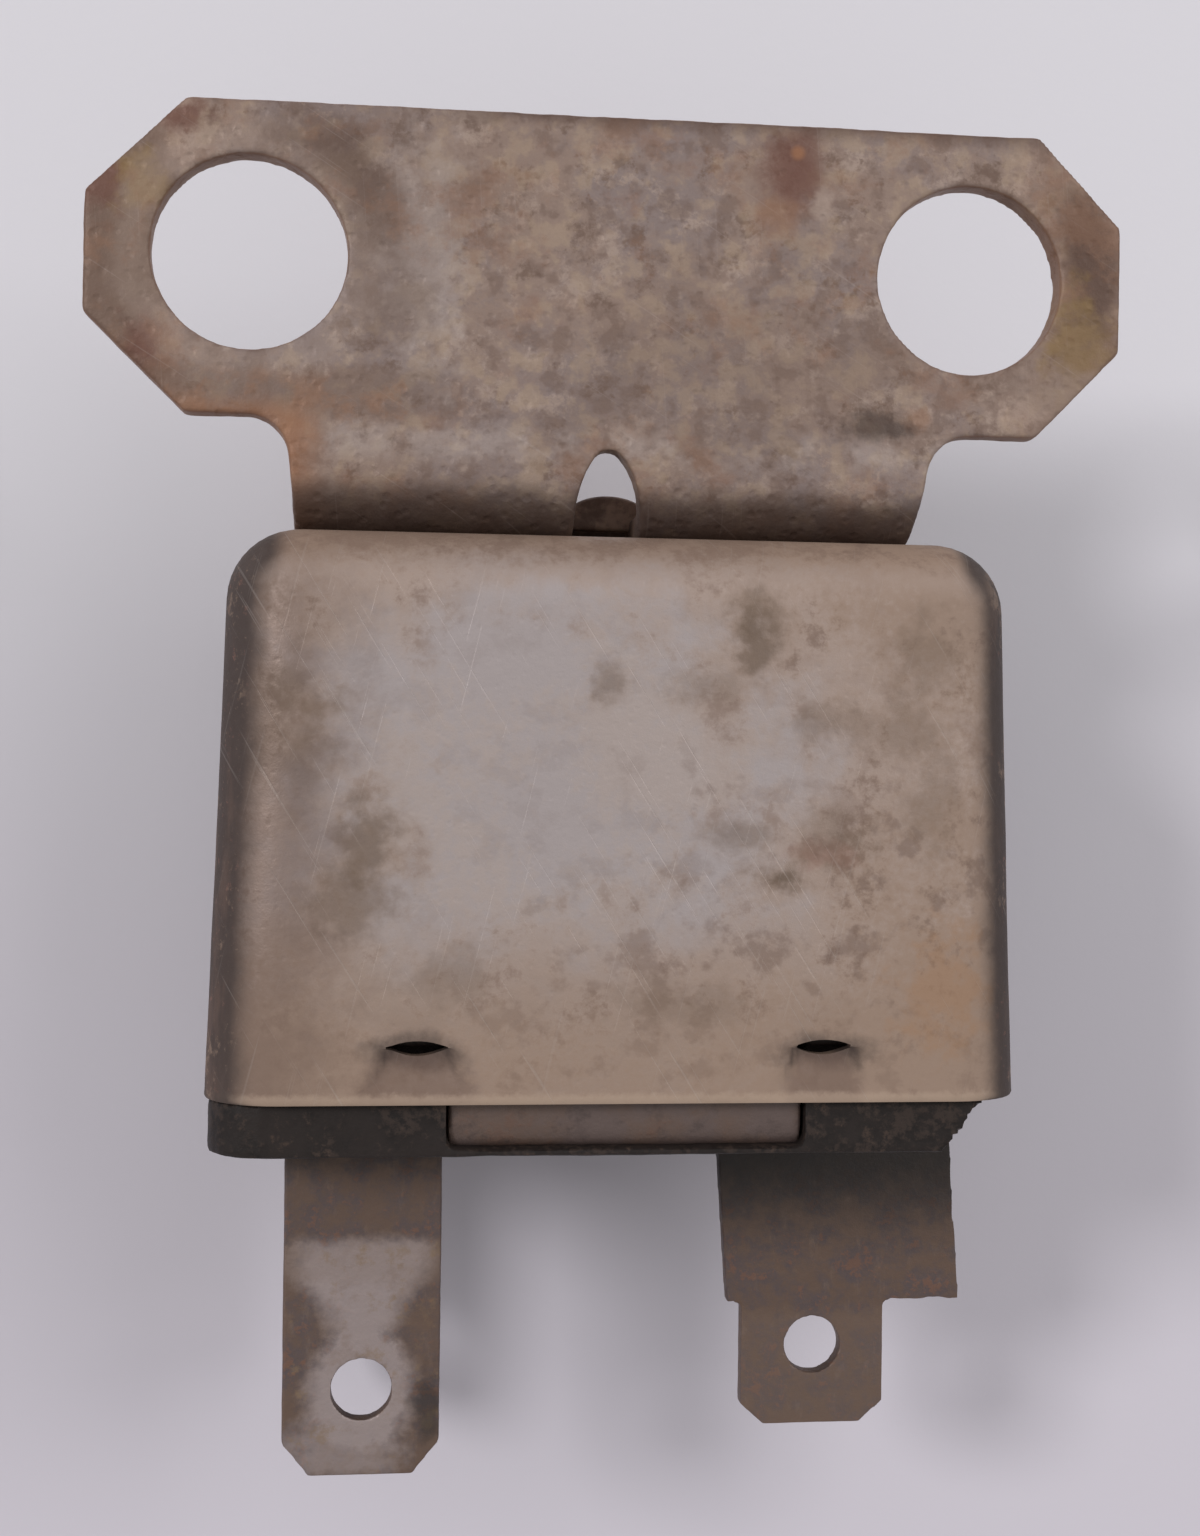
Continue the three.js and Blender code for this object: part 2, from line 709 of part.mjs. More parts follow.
// The return leaf: riveted to the leg's inner face and to the armature's underside.
function makeLeaf() {
  const round = 0.9;
  const topY = armatureBottomY;
  const backZ = legInnerZ;
  const inner = round - leafThickness;
  const shape = new THREE.Shape();
  shape.moveTo(topY - leafDrop, backZ);
  shape.lineTo(topY - leafDrop, backZ - leafThickness);
  shape.lineTo(topY - round, backZ - leafThickness);
  shape.absarc(topY - round, backZ - round, inner, Math.PI / 2, 0, true);
  shape.lineTo(topY - leafThickness, backZ - leafReach);
  shape.lineTo(topY, backZ - leafReach);
  shape.lineTo(topY, backZ - round);
  shape.absarc(topY - round, backZ - round, round, 0, Math.PI / 2);
  let leaf = extrude("x", shape, yokeX - leafHalfWidth, yokeX + leafHalfWidth, 5);
  for (const x of leafPinXs) {
    leaf = leaf.subtract(uprightHole(x, leafPinZ, pinRadius + slip, topY - 0.6, topY + 1));
    leaf = leaf.subtract(extrude("z", disc(x, leafPinY, pinRadius + slip), backZ - 0.6, backZ + 1, 6));
  }
  return leaf;
}

function makeStop() {
  const tabBottomY = armatureTopY + bladeThickness + seat;
  const tabTopY = tabBottomY + stopThickness;
  const x0 = yokeX - stopHalfWidth;
  const x1 = yokeX + stopHalfWidth;
  const riser = box(x0, x1, baseTopY - stopSocket, tabTopY, stopRearZ, stopRearZ + stopThickness);
  return riser.add(box(x0, x1, tabBottomY, tabTopY, stopRearZ, armatureRearZ + 4));
}

// ---------- Terminals and rivets ----------

// A rivet about an upright line: shank, a head at the bottom, and a head at the top or a flush end.
function uprightRivet(x, z, bottomY, topY, shank, head, height, topHead, segments = 16) {
  const profile = [
    [0, bottomY - height],
    [head * 0.75, bottomY - height],
    [head, bottomY - height * 0.5],
    [head, bottomY],
    [shank, bottomY],
    [shank, topY],
  ];
  if (topHead) {
    profile.push([head, topY]);
    profile.push([head, topY + height * 0.5]);
    profile.push([head * 0.75, topY + height]);
    profile.push([0, topY + height]);
  } else {
    profile.push([0, topY]);
  }
  return turned(profile, x, z, segments);
}

// The outline of a blade from its shoulder down to its chamfered end, in (across, y).
function bladePoints(centre, topY, chamfer = tabChamfer) {
  const half = tabWidth / 2;
  const [acrossCut, alongCut] = chamfer;
  return [
    [centre - half, topY],
    [centre - half, tabEndY + alongCut],
    [centre - half + acrossCut, tabEndY],
    [centre + half - acrossCut, tabEndY],
    [centre + half, tabEndY + alongCut],
    [centre + half, topY],
  ];
}

function makeLoadTerminal() {
  const z1 = loadTabFrontZ;
  const z0 = z1 - tabThickness;
  const half = tabWidth / 2;
  let tab = extrude("z", outline(bladePoints(loadTabX, baseBottomY, loadTabChamfer)), z0, z1);
  tab = tab.add(box(loadTabX - half, loadTabX + half, flangeBottomY, baseBottomY, z1 - loadFlange, z1));
  const hole = disc(loadTabX, tabEndY + tabHoleFromEnd, tabHoleRadius);
  tab = tab.subtract(extrude("z", hole, z0 - 1, z1 + 1, 12));
  return tab.subtract(uprightHole(loadTabX, loadRivetZ, rivetRadius + slip));
}

function makeBatteryTerminal() {
  const z1 = batteryTabFrontZ;
  const z0 = z1 - tabThickness;
  const shankX0 = batteryTabX + batteryShankShift - batteryShankWidth / 2;
  const shankX1 = shankX0 + batteryShankWidth;
  const shankEndY = baseBottomY - batteryShankHeight;
  const shank = [
    [shankX0, baseBottomY],
    [shankX0 + batteryShankLean, shankEndY],
    [shankX1 + batteryShankLean, shankEndY],
    [shankX1, baseBottomY],
  ];
  let tab = extrude("z", outline(bladePoints(batteryTabX, shankEndY + 1)), z0, z1);
  tab = tab.add(extrude("z", outline(shank), z0, z1));
  const flangeX1 = batteryRivetX + 2.6;
  tab = tab.add(box(shankX0, flangeX1, flangeBottomY, baseBottomY, z1 - batteryFlange, z1));
  const hole = disc(batteryTabX, tabEndY + tabHoleFromEnd, tabHoleRadius);
  tab = tab.subtract(extrude("z", hole, z0 - 1, z1 + 1, 12));
  return tab.subtract(uprightHole(batteryRivetX, batteryRivetZ, rivetRadius + slip));
}

function makeSwitchTerminal() {
  const x0 = switchTabX - tabThickness / 2;
  const x1 = x0 + tabThickness;
  const centreZ = switchTabRearZ + tabWidth / 2;
  const flipped = bladePoints(centreZ, baseBottomY).map(([z, y]) => [y, z]);
  let tab = extrude("x", outline(flipped), x0, x1);
  const flangeX1 = x0 + switchFlange;
  const rearZ = switchTabRearZ;
  tab = tab.add(box(x0, flangeX1, flangeBottomY, baseBottomY, rearZ, rearZ + tabWidth));
  const hole = disc(tabEndY + tabHoleFromEnd, centreZ, tabHoleRadius);
  tab = tab.subtract(extrude("x", hole, x0 - 1, x1 + 1, 12));
  return tab.subtract(uprightHole(switchRivetX, switchRivetZ, rivetRadius + slip));
}

// A pin through the leaf and the leg, along Z, headed on the leaf's side and flush outside.
function makeLegPin(x) {
  const headZ = legInnerZ - leafThickness;
  const head = extrude("z", disc(x, leafPinY, pinHeadRadius), headZ - pinHeadHeight, headZ, 6);
  return head.add(extrude("z", disc(x, leafPinY, pinRadius), headZ - 0.1, yokeFrontZ, 6));
}

// ---------- The assembly ----------

addPiece("can", makeCan(), ...finish.canSteel);
addPiece("mounting_bracket", makeBracket(), ...finish.bracketSteel);
addPiece("base", makeBase(), ...finish.phenolic);
addPiece("yoke", makeYoke(), ...finish.iron);
addPiece("core", makeCore(), ...finish.iron);
addPiece("bobbin", makeBobbin(), ...finish.moulded);
const windingTall = [windingBottomY, windingTopY, yokeX, coreZ];
addPiece("coil_winding", ring(windingInner, windingOuter, ...windingTall), ...finish.copper);
addPiece("coil_wrap", ring(wrapInner, wrapOuter, ...windingTall), ...finish.tape);

const overEarY = footTopY + rivetHeadHeight + leadRadius + 0.1;
const overBaseY = baseTopY + rivetHeadHeight + leadRadius + 0.1;
const batteryLead = makeLead(-0.1, windingBottomY + 1, batteryRivetX, overEarY, batteryRivetZ);
const switchLead = makeLead(-2.6, windingBottomY + 3, switchRivetX, overBaseY, switchRivetZ);
addPiece("battery_lead", batteryLead, ...finish.copper);
addPiece("switch_lead", switchLead, ...finish.copper);

addPiece("load_terminal", makeLoadTerminal(), ...finish.brass);
addPiece("battery_terminal", makeBatteryTerminal(), ...finish.brass);
addPiece("switch_terminal", makeSwitchTerminal(), ...finish.brass);

const rivetSizes = [rivetRadius, rivetHeadRadius, rivetHeadHeight];
const armFootTopY = baseTopY + armThickness;
const loadRivet = uprightRivet(loadTabX, loadRivetZ, flangeBottomY, armFootTopY, ...rivetSizes, true);
addPiece("load_rivet", loadRivet, ...finish.brass);
const batteryRivet = uprightRivet(batteryRivetX, batteryRivetZ, flangeBottomY, footTopY, ...rivetSizes, true);
addPiece("battery_rivet", batteryRivet, ...finish.brass);
const switchRivet = uprightRivet(switchRivetX, switchRivetZ, flangeBottomY, baseTopY, ...rivetSizes, true);
addPiece("switch_rivet", switchRivet, ...finish.brass);
yokeRivetXs.forEach((x, i) => {
  const rivet = uprightRivet(x, yokeRivetZ, baseBottomY, footTopY, ...rivetSizes, false);
  addPiece(`yoke_rivet_${i + 1}`, rivet, ...finish.iron);
});

addPiece("fixed_contact_arm", makeFixedArm(), ...finish.bronze);
addPiece("fixed_contact", makeContact(armTopY, armThickness, -1), ...finish.silver);
addPiece("return_leaf", makeLeaf(), ...finish.bronze);
leafPinXs.forEach((x, i) => addPiece(`leg_pin_${i + 1}`, makeLegPin(x), ...finish.iron));
addPiece("back_stop", makeStop(), ...finish.iron);

const pinSizes = [pinRadius, pinHeadRadius, pinHeadHeight];
const bladeTopY = armatureTopY + bladeThickness;
addPiece("armature", makeArmature(), ...finish.iron);
addPiece("contact_blade", makeBlade(), ...finish.bronze);
addPiece("moving_contact", makeContact(armatureTopY, bladeThickness, 1), ...finish.silver);
bladePinXs.forEach((x, i) => {
  const pin = uprightRivet(x, contactZ, armatureBottomY, bladeTopY, ...pinSizes, true, 12);
  addPiece(`blade_pin_${i + 1}`, pin, ...finish.iron);
});
leafPinXs.forEach((x, i) => {
  const underY = armatureBottomY - leafThickness;
  const pin = uprightRivet(x, leafPinZ, underY, armatureTopY, ...pinSizes, false, 12);
  addPiece(`leaf_pin_${i + 1}`, pin, ...finish.iron);
});
const studSizes = [pinRadius, pinHeadRadius, studHeight];
const stud = uprightRivet(yokeX, coreZ, armatureBottomY, armatureTopY, ...studSizes, false, 12);
addPiece("residual_stud", stud, ...finish.brass);

export default group;
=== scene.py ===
import math

import bmesh
import bpy
import numpy as np
from mathutils import Matrix, Vector, noise


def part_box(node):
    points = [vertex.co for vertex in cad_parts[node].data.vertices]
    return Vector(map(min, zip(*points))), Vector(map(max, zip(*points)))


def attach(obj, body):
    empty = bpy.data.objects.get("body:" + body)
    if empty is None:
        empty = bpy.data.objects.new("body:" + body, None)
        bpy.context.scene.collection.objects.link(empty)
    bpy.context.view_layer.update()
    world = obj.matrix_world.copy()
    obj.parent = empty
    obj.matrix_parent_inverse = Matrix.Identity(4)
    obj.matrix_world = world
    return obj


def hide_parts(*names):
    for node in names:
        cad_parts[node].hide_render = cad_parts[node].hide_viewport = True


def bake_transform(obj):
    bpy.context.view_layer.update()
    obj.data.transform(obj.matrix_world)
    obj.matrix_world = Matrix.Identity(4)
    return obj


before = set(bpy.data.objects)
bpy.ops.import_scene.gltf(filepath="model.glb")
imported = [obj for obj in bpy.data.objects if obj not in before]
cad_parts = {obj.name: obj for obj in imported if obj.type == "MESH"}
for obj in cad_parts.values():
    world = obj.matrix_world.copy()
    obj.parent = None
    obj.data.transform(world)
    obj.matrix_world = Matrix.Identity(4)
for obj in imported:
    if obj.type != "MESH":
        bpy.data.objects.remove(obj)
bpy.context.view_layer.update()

mm = 0.001


class Wire:
    # one output in a node tree, which sums can be written with
    def __init__(self, maker, socket):
        self.maker = maker
        self.socket = socket

    def math(self, operation, first, second, clamp=False):
        settings = {"operation": operation, "use_clamp": clamp}
        return self.maker.node("ShaderNodeMath", settings, {0: first, 1: second})

    def __add__(self, other):
        return self.math("ADD", self, other)

    def __sub__(self, other):
        return self.math("SUBTRACT", self, other)

    def __rsub__(self, other):
        return self.math("SUBTRACT", other, self)

    def __mul__(self, other):
        return self.math("MULTIPLY", self, other)

    def __truediv__(self, other):
        return self.math("DIVIDE", self, other)

    def __pow__(self, other):
        return self.math("POWER", self, other)

    def clamped(self):
        return self.math("ADD", self, 0.0, True)

    __radd__ = __add__
    __rmul__ = __mul__


class Maker:
    # adds nodes to one tree: type, settings first, then the values or links of its sockets
    def __init__(self, tree):
        self.tree = tree

    def node(self, kind, settings=None, inputs=None, output=0):
        made = self.tree.nodes.new(kind)
        for key, value in (settings or {}).items():
            setattr(made, key, value)
        for key, value in (inputs or {}).items():
            if isinstance(value, Wire):
                self.tree.links.new(value.socket, made.inputs[key])
            else:
                made.inputs[key].default_value = value
        return Wire(self, made.outputs[output]) if len(made.outputs) else made


def tone(red, green, blue):
    # a colour as it looks on a screen, 0 to 255, as the light value that a shader wants
    def light(value):
        share = value / 255
        return share / 12.92 if share <= 0.04045 else ((share + 0.055) / 1.055) ** 2.4
    return (light(red), light(green), light(blue), 1.0)


class Paint(Maker):
    # a material whose patterns are laid out in millimetres on the object
    def __init__(self, name, look):
        self.look = look
        self.material = bpy.data.materials.new(name)
        self.material.use_nodes = True
        super().__init__(self.material.node_tree)
        self.tree.nodes.clear()
        place = self.node("ShaderNodeTexCoord", output=3)
        facing = self.node("ShaderNodeTexCoord", output=1)
        self.at = self.node("ShaderNodeVectorMath", {"operation": "SCALE"}, {0: place, 3: 1 / mm})
        self.x, self.y, self.z = self.parts(self.at)
        self.nx, self.ny, self.nz = self.parts(facing)

    def parts(self, vector):
        split = self.tree.nodes.new("ShaderNodeSeparateXYZ")
        self.tree.links.new(vector.socket, split.inputs[0])
        return [Wire(self, socket) for socket in split.outputs]

    def grain(self, scale, detail=4.0, roughness=0.55, shift=(0, 0, 0), stretch=(1, 1, 1)):
        # soft noise from 0 to 1, whose patches are about 1 / scale millimetres
        moved = self.node("ShaderNodeMapping", None, {0: self.at, 1: shift, 3: stretch})
        return self.node("ShaderNodeTexNoise", None, {
            "Vector": moved, "Scale": scale, "Detail": detail, "Roughness": roughness})

    def swing(self, *settings):
        # a grain, and the same grain about zero
        grain = self.grain(*settings)
        return grain, grain - 0.5

    def scratches(self, turn, start):
        # long thin lines at an angle, 1 on a line
        laid = self.node("ShaderNodeMapping", {"vector_type": "TEXTURE"}, {
            0: self.at, 1: (start, 0, 0), 2: (0, 0, math.radians(turn)), 3: (0.13, 7.0, 7.0)})
        lines = self.node("ShaderNodeTexNoise", None, {
            "Vector": laid, "Scale": 1.0, "Detail": 2.0, "Roughness": 0.5})
        return self.rise(lines, 0.66, 0.74)

    def pits(self, scale, shift=(0, 0, 0)):
        # small round craters: the distance from the nearest of scattered points
        moved = self.node("ShaderNodeMapping", None, {0: self.at, 1: shift})
        return self.node("ShaderNodeTexVoronoi", None, {"Vector": moved, "Scale": scale})

    def size(self, value):
        # the value without its sign
        return (value * value) ** 0.5

    def rise(self, value, low, high):
        # 0 below low, 1 above high and a soft step between
        return self.node("ShaderNodeMapRange", {"interpolation_type": "SMOOTHSTEP"},
                         {"Value": value, "From Min": low, "From Max": high})

    def fall(self, value, low, high):
        return 1.0 - self.rise(value, low, high)

    def between(self, value, low, high, soft):
        return self.rise(value, low - soft, low + soft) * self.fall(value, high - soft, high + soft)

    def mix(self, factor, under, over):
        return self.node("ShaderNodeMix", {"data_type": "RGBA"}, {0: factor, 6: under, 7: over}, 2)

    def distance(self, x, y, halfX=1.0, halfY=1.0):
        # how far a point is from (x, y), in half-widths
        across = (self.x - x) / halfX
        along = (self.y - y) / halfY
        return (across * across + along * along) ** 0.5

    def blotch(self, x, y, halfX, halfY, ragged=1.5, soft=0.6):
        # a stain with a ragged edge, 1 in its middle
        wobble = (self.grain(0.9, 4.0, 0.6, (x, y, 0)) - 0.5) * (2 * ragged)
        return self.fall(self.distance(x, y, halfX, halfY) + wobble, 1 - soft, 1 + soft)

    def ground(self, share, first, second):
        # the first two tones of the finish, by name
        self.colour = self.mix(share, self.look[first], self.look[second])

    def cover(self, share, tint):
        # one more tone over what is there
        self.colour = self.mix(share, self.colour, self.look[tint])

    def patches(self, grain, low, high, strength, tint):
        self.cover(self.rise(grain, low, high) * strength, tint)

    def spots(self, group):
        # each stain is (tone, x, y, half-width, half-height, strength) and its raggedness, if unusual
        for tint, x, y, halfX, halfY, strength, *ragged in self.look[group]:
            self.cover(self.blotch(x, y, halfX, halfY, *ragged) * strength, tint)

    def finish(self, roughness, metallic, height, depth, **fixed):
        # height is in millimetres before depth scales it
        inputs = {"Base Color": self.colour, "Roughness": roughness, "Metallic": metallic, **fixed}
        inputs["Normal"] = self.node("ShaderNodeBump", None, {
            "Strength": 1.0, "Distance": depth * mm, "Height": height})
        shader = self.node("ShaderNodeBsdfPrincipled", None, inputs)
        self.node("ShaderNodeOutputMaterial", None, {0: shader})
        return self.material


def addObject(name, mesh):
    made = bpy.data.objects.new(name, mesh)
    bpy.context.scene.collection.objects.link(made)
    return made


def closeMesh(work, name):
    # the worked shape becomes an object, with its faces turned outwards
    bmesh.ops.recalc_face_normals(work, faces=work.faces)
    mesh = bpy.data.meshes.new(name)
    work.to_mesh(mesh)
    work.free()
    return addObject(name, mesh)


def settle(piece):
    # the evaluated shape becomes a plain mesh, and the modifiers go
    graph = bpy.context.evaluated_depsgraph_get()
    mesh = bpy.data.meshes.new_from_object(piece.evaluated_get(graph))
    old = piece.data
    piece.modifiers.clear()
    piece.data = mesh
    bpy.data.meshes.remove(old)
    return piece


def copyNode(node, name):
    # a merged copy of a CAD node, with its faces turned outwards
    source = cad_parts[node]
    work = bmesh.new()
    work.from_mesh(source.data)
    bmesh.ops.remove_doubles(work, verts=work.verts, dist=1e-6)
    return closeMesh(work, name)


def refine(piece, voxel, passes):
    # an even fine skin with slightly worn edges
    skin = piece.modifiers.new("skin", "REMESH")
    skin.mode = "VOXEL"
    skin.voxel_size = voxel * mm
    soften = piece.modifiers.new("soften", "SMOOTH")
    soften.iterations = passes
    return settle(piece)


def readPoints(piece):
    count = len(piece.data.vertices)
    places = np.empty(count * 3)
    normals = np.empty(count * 3)
    piece.data.vertices.foreach_get("co", places)
    piece.data.vertices.foreach_get("normal", normals)
    return places.reshape(-1, 3) / mm, normals.reshape(-1, 3)


def writePoints(piece, places):
    piece.data.vertices.foreach_set("co", (places * mm).ravel())
    piece.data.update()


def ripple(places, size, seed):
    # smooth noise from about -1 to 1 at each point
    shift = Vector((seed * 7.3, seed * 3.1, seed * 5.7))
    return np.array([noise.noise(Vector(place) / size + shift) for place in places])


def softStep(value, low, high):
    share = np.clip((value - low) / (high - low), 0, 1)
    return share * share * (3 - 2 * share)


def corrode(piece, waves):
    # wear eats inwards; each wave is (patch size, depth, seed), in millimetres
    places, normals = readPoints(piece)
    lift = np.zeros(len(places))
    for size, depth, seed in waves:
        lift -= depth * (ripple(places, size, seed) + 1) / 2
    writePoints(piece, places + normals * lift[:, None])


def smoothShade(piece, angle=40):
    for face in piece.data.polygons:
        face.use_smooth = True
    piece.data.set_sharp_from_angle(angle=math.radians(angle))


def dress(piece, material):
    piece.data.materials.clear()
    piece.data.materials.append(material)


def mount(piece, body, nodes, material):
    dress(piece, material)
    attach(piece, body)
    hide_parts(*nodes)


def nodeBox(node):
    low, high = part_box(node)
    return low / mm, high / mm


canLook = {
    "wall": 0.6, "draft": 2.0, "cornerRadius": 3.0, "endRadius": 2.7, "smallestRadius": 0.35,
    "sideSteps": (60, 100), "cornerSteps": 10, "bendSteps": 10, "fineHeight": 3.2,
    "endShrinks": (0.93, 0.8, 0.65, 0.5, 0.35, 0.2, 0.08),
    "crimpXs": (-7.55, 8.05), "slitHalf": 1.1, "slitLow": 1.95, "slitHigh": 2.35,
    "crimpPress": 0.6, "crimpSpread": 2.35, "crimpSoft": 0.75, "bowBelow": -0.16, "bowAbove": 0.06,
    "pinch": 0.8, "lipPress": 0.14, "lipReach": (1.9, 1.6),
    "pitch": 0.42, "finePitch": 0.2, "rimBreak": 0.09,
    "dents": ((9.0, 0.09, 1), (3.2, 0.035, 2), (0.9, 0.012, 3)),
}


def roundedLoop(halfX, halfZ, radius, side, corner):
    # points round a rounded rectangle about the origin, counted evenly on its sides and corners
    points = []
    across, up = max(halfX - radius, 0.01), max(halfZ - radius, 0.01)
    for quarter, (sx, sz) in enumerate(((1, -1), (1, 1), (-1, 1), (-1, -1))):
        start = math.radians(-90 + 90 * quarter)
        for step in range(corner):
            angle = start + math.radians(90) * step / corner
            points.append((sx * across + radius * math.cos(angle), sz * up + radius * math.sin(angle)))
        reach = up if quarter % 2 == 0 else across
        for step in range(side[quarter % 2]):
            along = -reach + 2 * reach * step / side[quarter % 2]
            ends = ((across + radius, along), (-along, up + radius), (-across - radius, -along),
                    (along, -up - radius))
            points.append(ends[quarter])
    return points


def canLevels(look, rimY, endY):
    # (height, inset) pairs of the outer skin, from just inside the rim edge to the middle of the end
    fineTop = rimY + look["fineHeight"]
    levels = [(rimY, look["rimBreak"]), (rimY + look["rimBreak"], 0.0)]
    slitRows = (rimY + look["slitLow"], rimY + look["slitHigh"])
    heights = list(np.arange(rimY + 0.25, slitRows[0] - 0.1, look["finePitch"]))
    heights += [slitRows[0], (slitRows[0] + slitRows[1]) / 2, slitRows[1]]
    heights += list(np.arange(slitRows[1] + look["finePitch"], fineTop, look["finePitch"]))
    straightEnd = endY - look["endRadius"]
    heights += list(np.linspace(fineTop, straightEnd, int((straightEnd - fineTop) / look["pitch"])))
    levels += [(height, 0.0) for height in heights]
    for step in range(1, look["bendSteps"] + 1):
        angle = math.radians(90) * step / look["bendSteps"]
        drop = look["endRadius"] * (1 - math.cos(angle))
        levels.append((straightEnd + look["endRadius"] * math.sin(angle), drop))
    return levels


def makeCan(look):
    low, high = nodeBox("can")
    rimY, endY = low.y, high.y
    middle = Vector(((low.x + high.x) / 2, 0, (low.z + high.z) / 2))
    halfRim, halfZ = (high.x - low.x) / 2, (high.z - low.z) / 2
    lean = math.tan(math.radians(look["draft"]))
    work = bmesh.new()

    def addLoop(height, inset, shrink=1.0):
        radius = max(look["cornerRadius"] - inset, look["smallestRadius"])
        halfX = halfRim - (height - rimY) * lean - inset
        loop = roundedLoop(halfX * shrink, (halfZ - inset) * shrink, radius * shrink,
                           look["sideSteps"], look["cornerSteps"])
        return [work.verts.new((middle.x + x, height, middle.z + z)) for x, z in loop]

    def join(first, second, turned):
        count = len(first)
        for index in range(count):
            after = (index + 1) % count
            ring = (first[index], first[after], second[after], second[index])
            work.faces.new(tuple(reversed(ring)) if turned else ring)

    def cap(loop, height, inset, turned):
        # loops that shrink to the middle, then one small face
        last = loop
        for shrink in look["endShrinks"]:
            following = addLoop(height, inset, shrink)
            join(last, following, turned)
            last = following
        work.faces.new(tuple(reversed(last)) if turned else last)

    def skin(levels, top, turned):
        loops = [addLoop(height, inset) for height, inset in levels]
        for first, second in zip(loops, loops[1:]):
            join(first, second, turned)
        cap(loops[-1], top, look["endRadius"], turned)
        return loops[0]

    outerRim = skin(canLevels(look, rimY, endY), endY, False)
    wall = look["wall"]
    insideLook = dict(look, endRadius=look["endRadius"] - wall)
    innerLevels = [(height, inset + wall) for height, inset in canLevels(insideLook, rimY, endY - wall)]
    innerLevels[0] = (rimY, wall - look["rimBreak"])
    innerRim = skin(innerLevels, endY - wall, True)
    join(outerRim, innerRim, True)

    # the slits: matching windows in both walls, joined round their edges
    for crimpX in look["crimpXs"]:
        doomed = []
        for face in work.faces:
            centre = face.calc_center_median()
            inSlit = rimY + look["slitLow"] < centre.y < rimY + look["slitHigh"]
            if inSlit and abs(centre.x - crimpX) < look["slitHalf"] and centre.z > middle.z + halfZ - 1:
                doomed.append(face)
        bmesh.ops.delete(work, geom=doomed, context="FACES")
        edges = [edge for edge in work.edges if edge.is_boundary]
        bmesh.ops.bridge_loops(work, edges=edges)
    loose = [vert for vert in work.verts if not vert.link_faces]
    bmesh.ops.delete(work, geom=loose, context="VERTS")
    for vert in work.verts:
        vert.co *= mm
    piece = closeMesh(work, "canShell")

    # the metal under each slit is pressed in, most at the slit
    places, normals = readPoints(piece)
    front = places[:, 2] > middle.z + halfZ - 1
    slitY = rimY + look["slitHigh"]
    for crimpX in look["crimpXs"]:
        away = np.abs(places[:, 0] - crimpX)
        share = np.clip((slitY - places[:, 1]) / (slitY - rimY), 0, 1)
        half = look["slitHalf"] + 0.1 + (look["crimpSpread"] - look["slitHalf"]) * share
        side = softStep(half - away, 0, look["crimpSoft"])
        press = look["crimpPress"] * (1 - share) * side
        below = places[:, 1] < rimY + (look["slitLow"] + look["slitHigh"]) / 2
        places[:, 2] -= np.where(front & below, press, 0)
        # the slit is wider in its middle, like an eye
        bow = np.clip(1 - (away / look["slitHalf"]) ** 2, 0, 1)
        reach = softStep(0.7 - np.abs(places[:, 1] - (slitY - 0.3)), 0, 0.5)
        bend = np.where(below, look["bowBelow"], look["bowAbove"])
        places[:, 1] += np.where(front, bow * reach * bend, 0)
        # and closes to a point at its ends
        offset = places[:, 1] - rimY - (look["slitLow"] + look["slitHigh"]) / 2
        ends = (1 - bow) * softStep(look["slitHalf"] + 0.5 - away, 0, 0.3)
        ends = ends * softStep(0.9 - np.abs(offset), 0, 0.5)
        pinched = np.sign(offset) * np.minimum(np.abs(offset), 0.2) * look["pinch"] * ends
        places[:, 1] -= np.where(front, pinched, 0)
        # the upper lip is drawn in a little with it
        acrossReach, upReach = look["lipReach"]
        above = softStep(upReach - (places[:, 1] - slitY), 0, upReach)
        near = softStep(acrossReach - away, 0, 1.4)
        places[:, 2] -= np.where(front & ~below, look["lipPress"] * above * near, 0)
    lift = sum(depth * (ripple(places * (1, 1, 0.6), size, seed) + 1) / 2
               for size, depth, seed in look["dents"])
    # both walls dent together, so the push is towards the middle of the can
    inward = np.zeros_like(places)
    strength = np.abs(normals[:, 2:3])
    inward[:, 2] = -np.sign(places[:, 2] - middle.z)
    places += inward * lift[:, None] * strength
    places[:, 0] -= np.sign(places[:, 0] - middle.x) * lift * np.abs(normals[:, 0])
    writePoints(piece, places)
    smoothShade(piece, 50)
    return piece


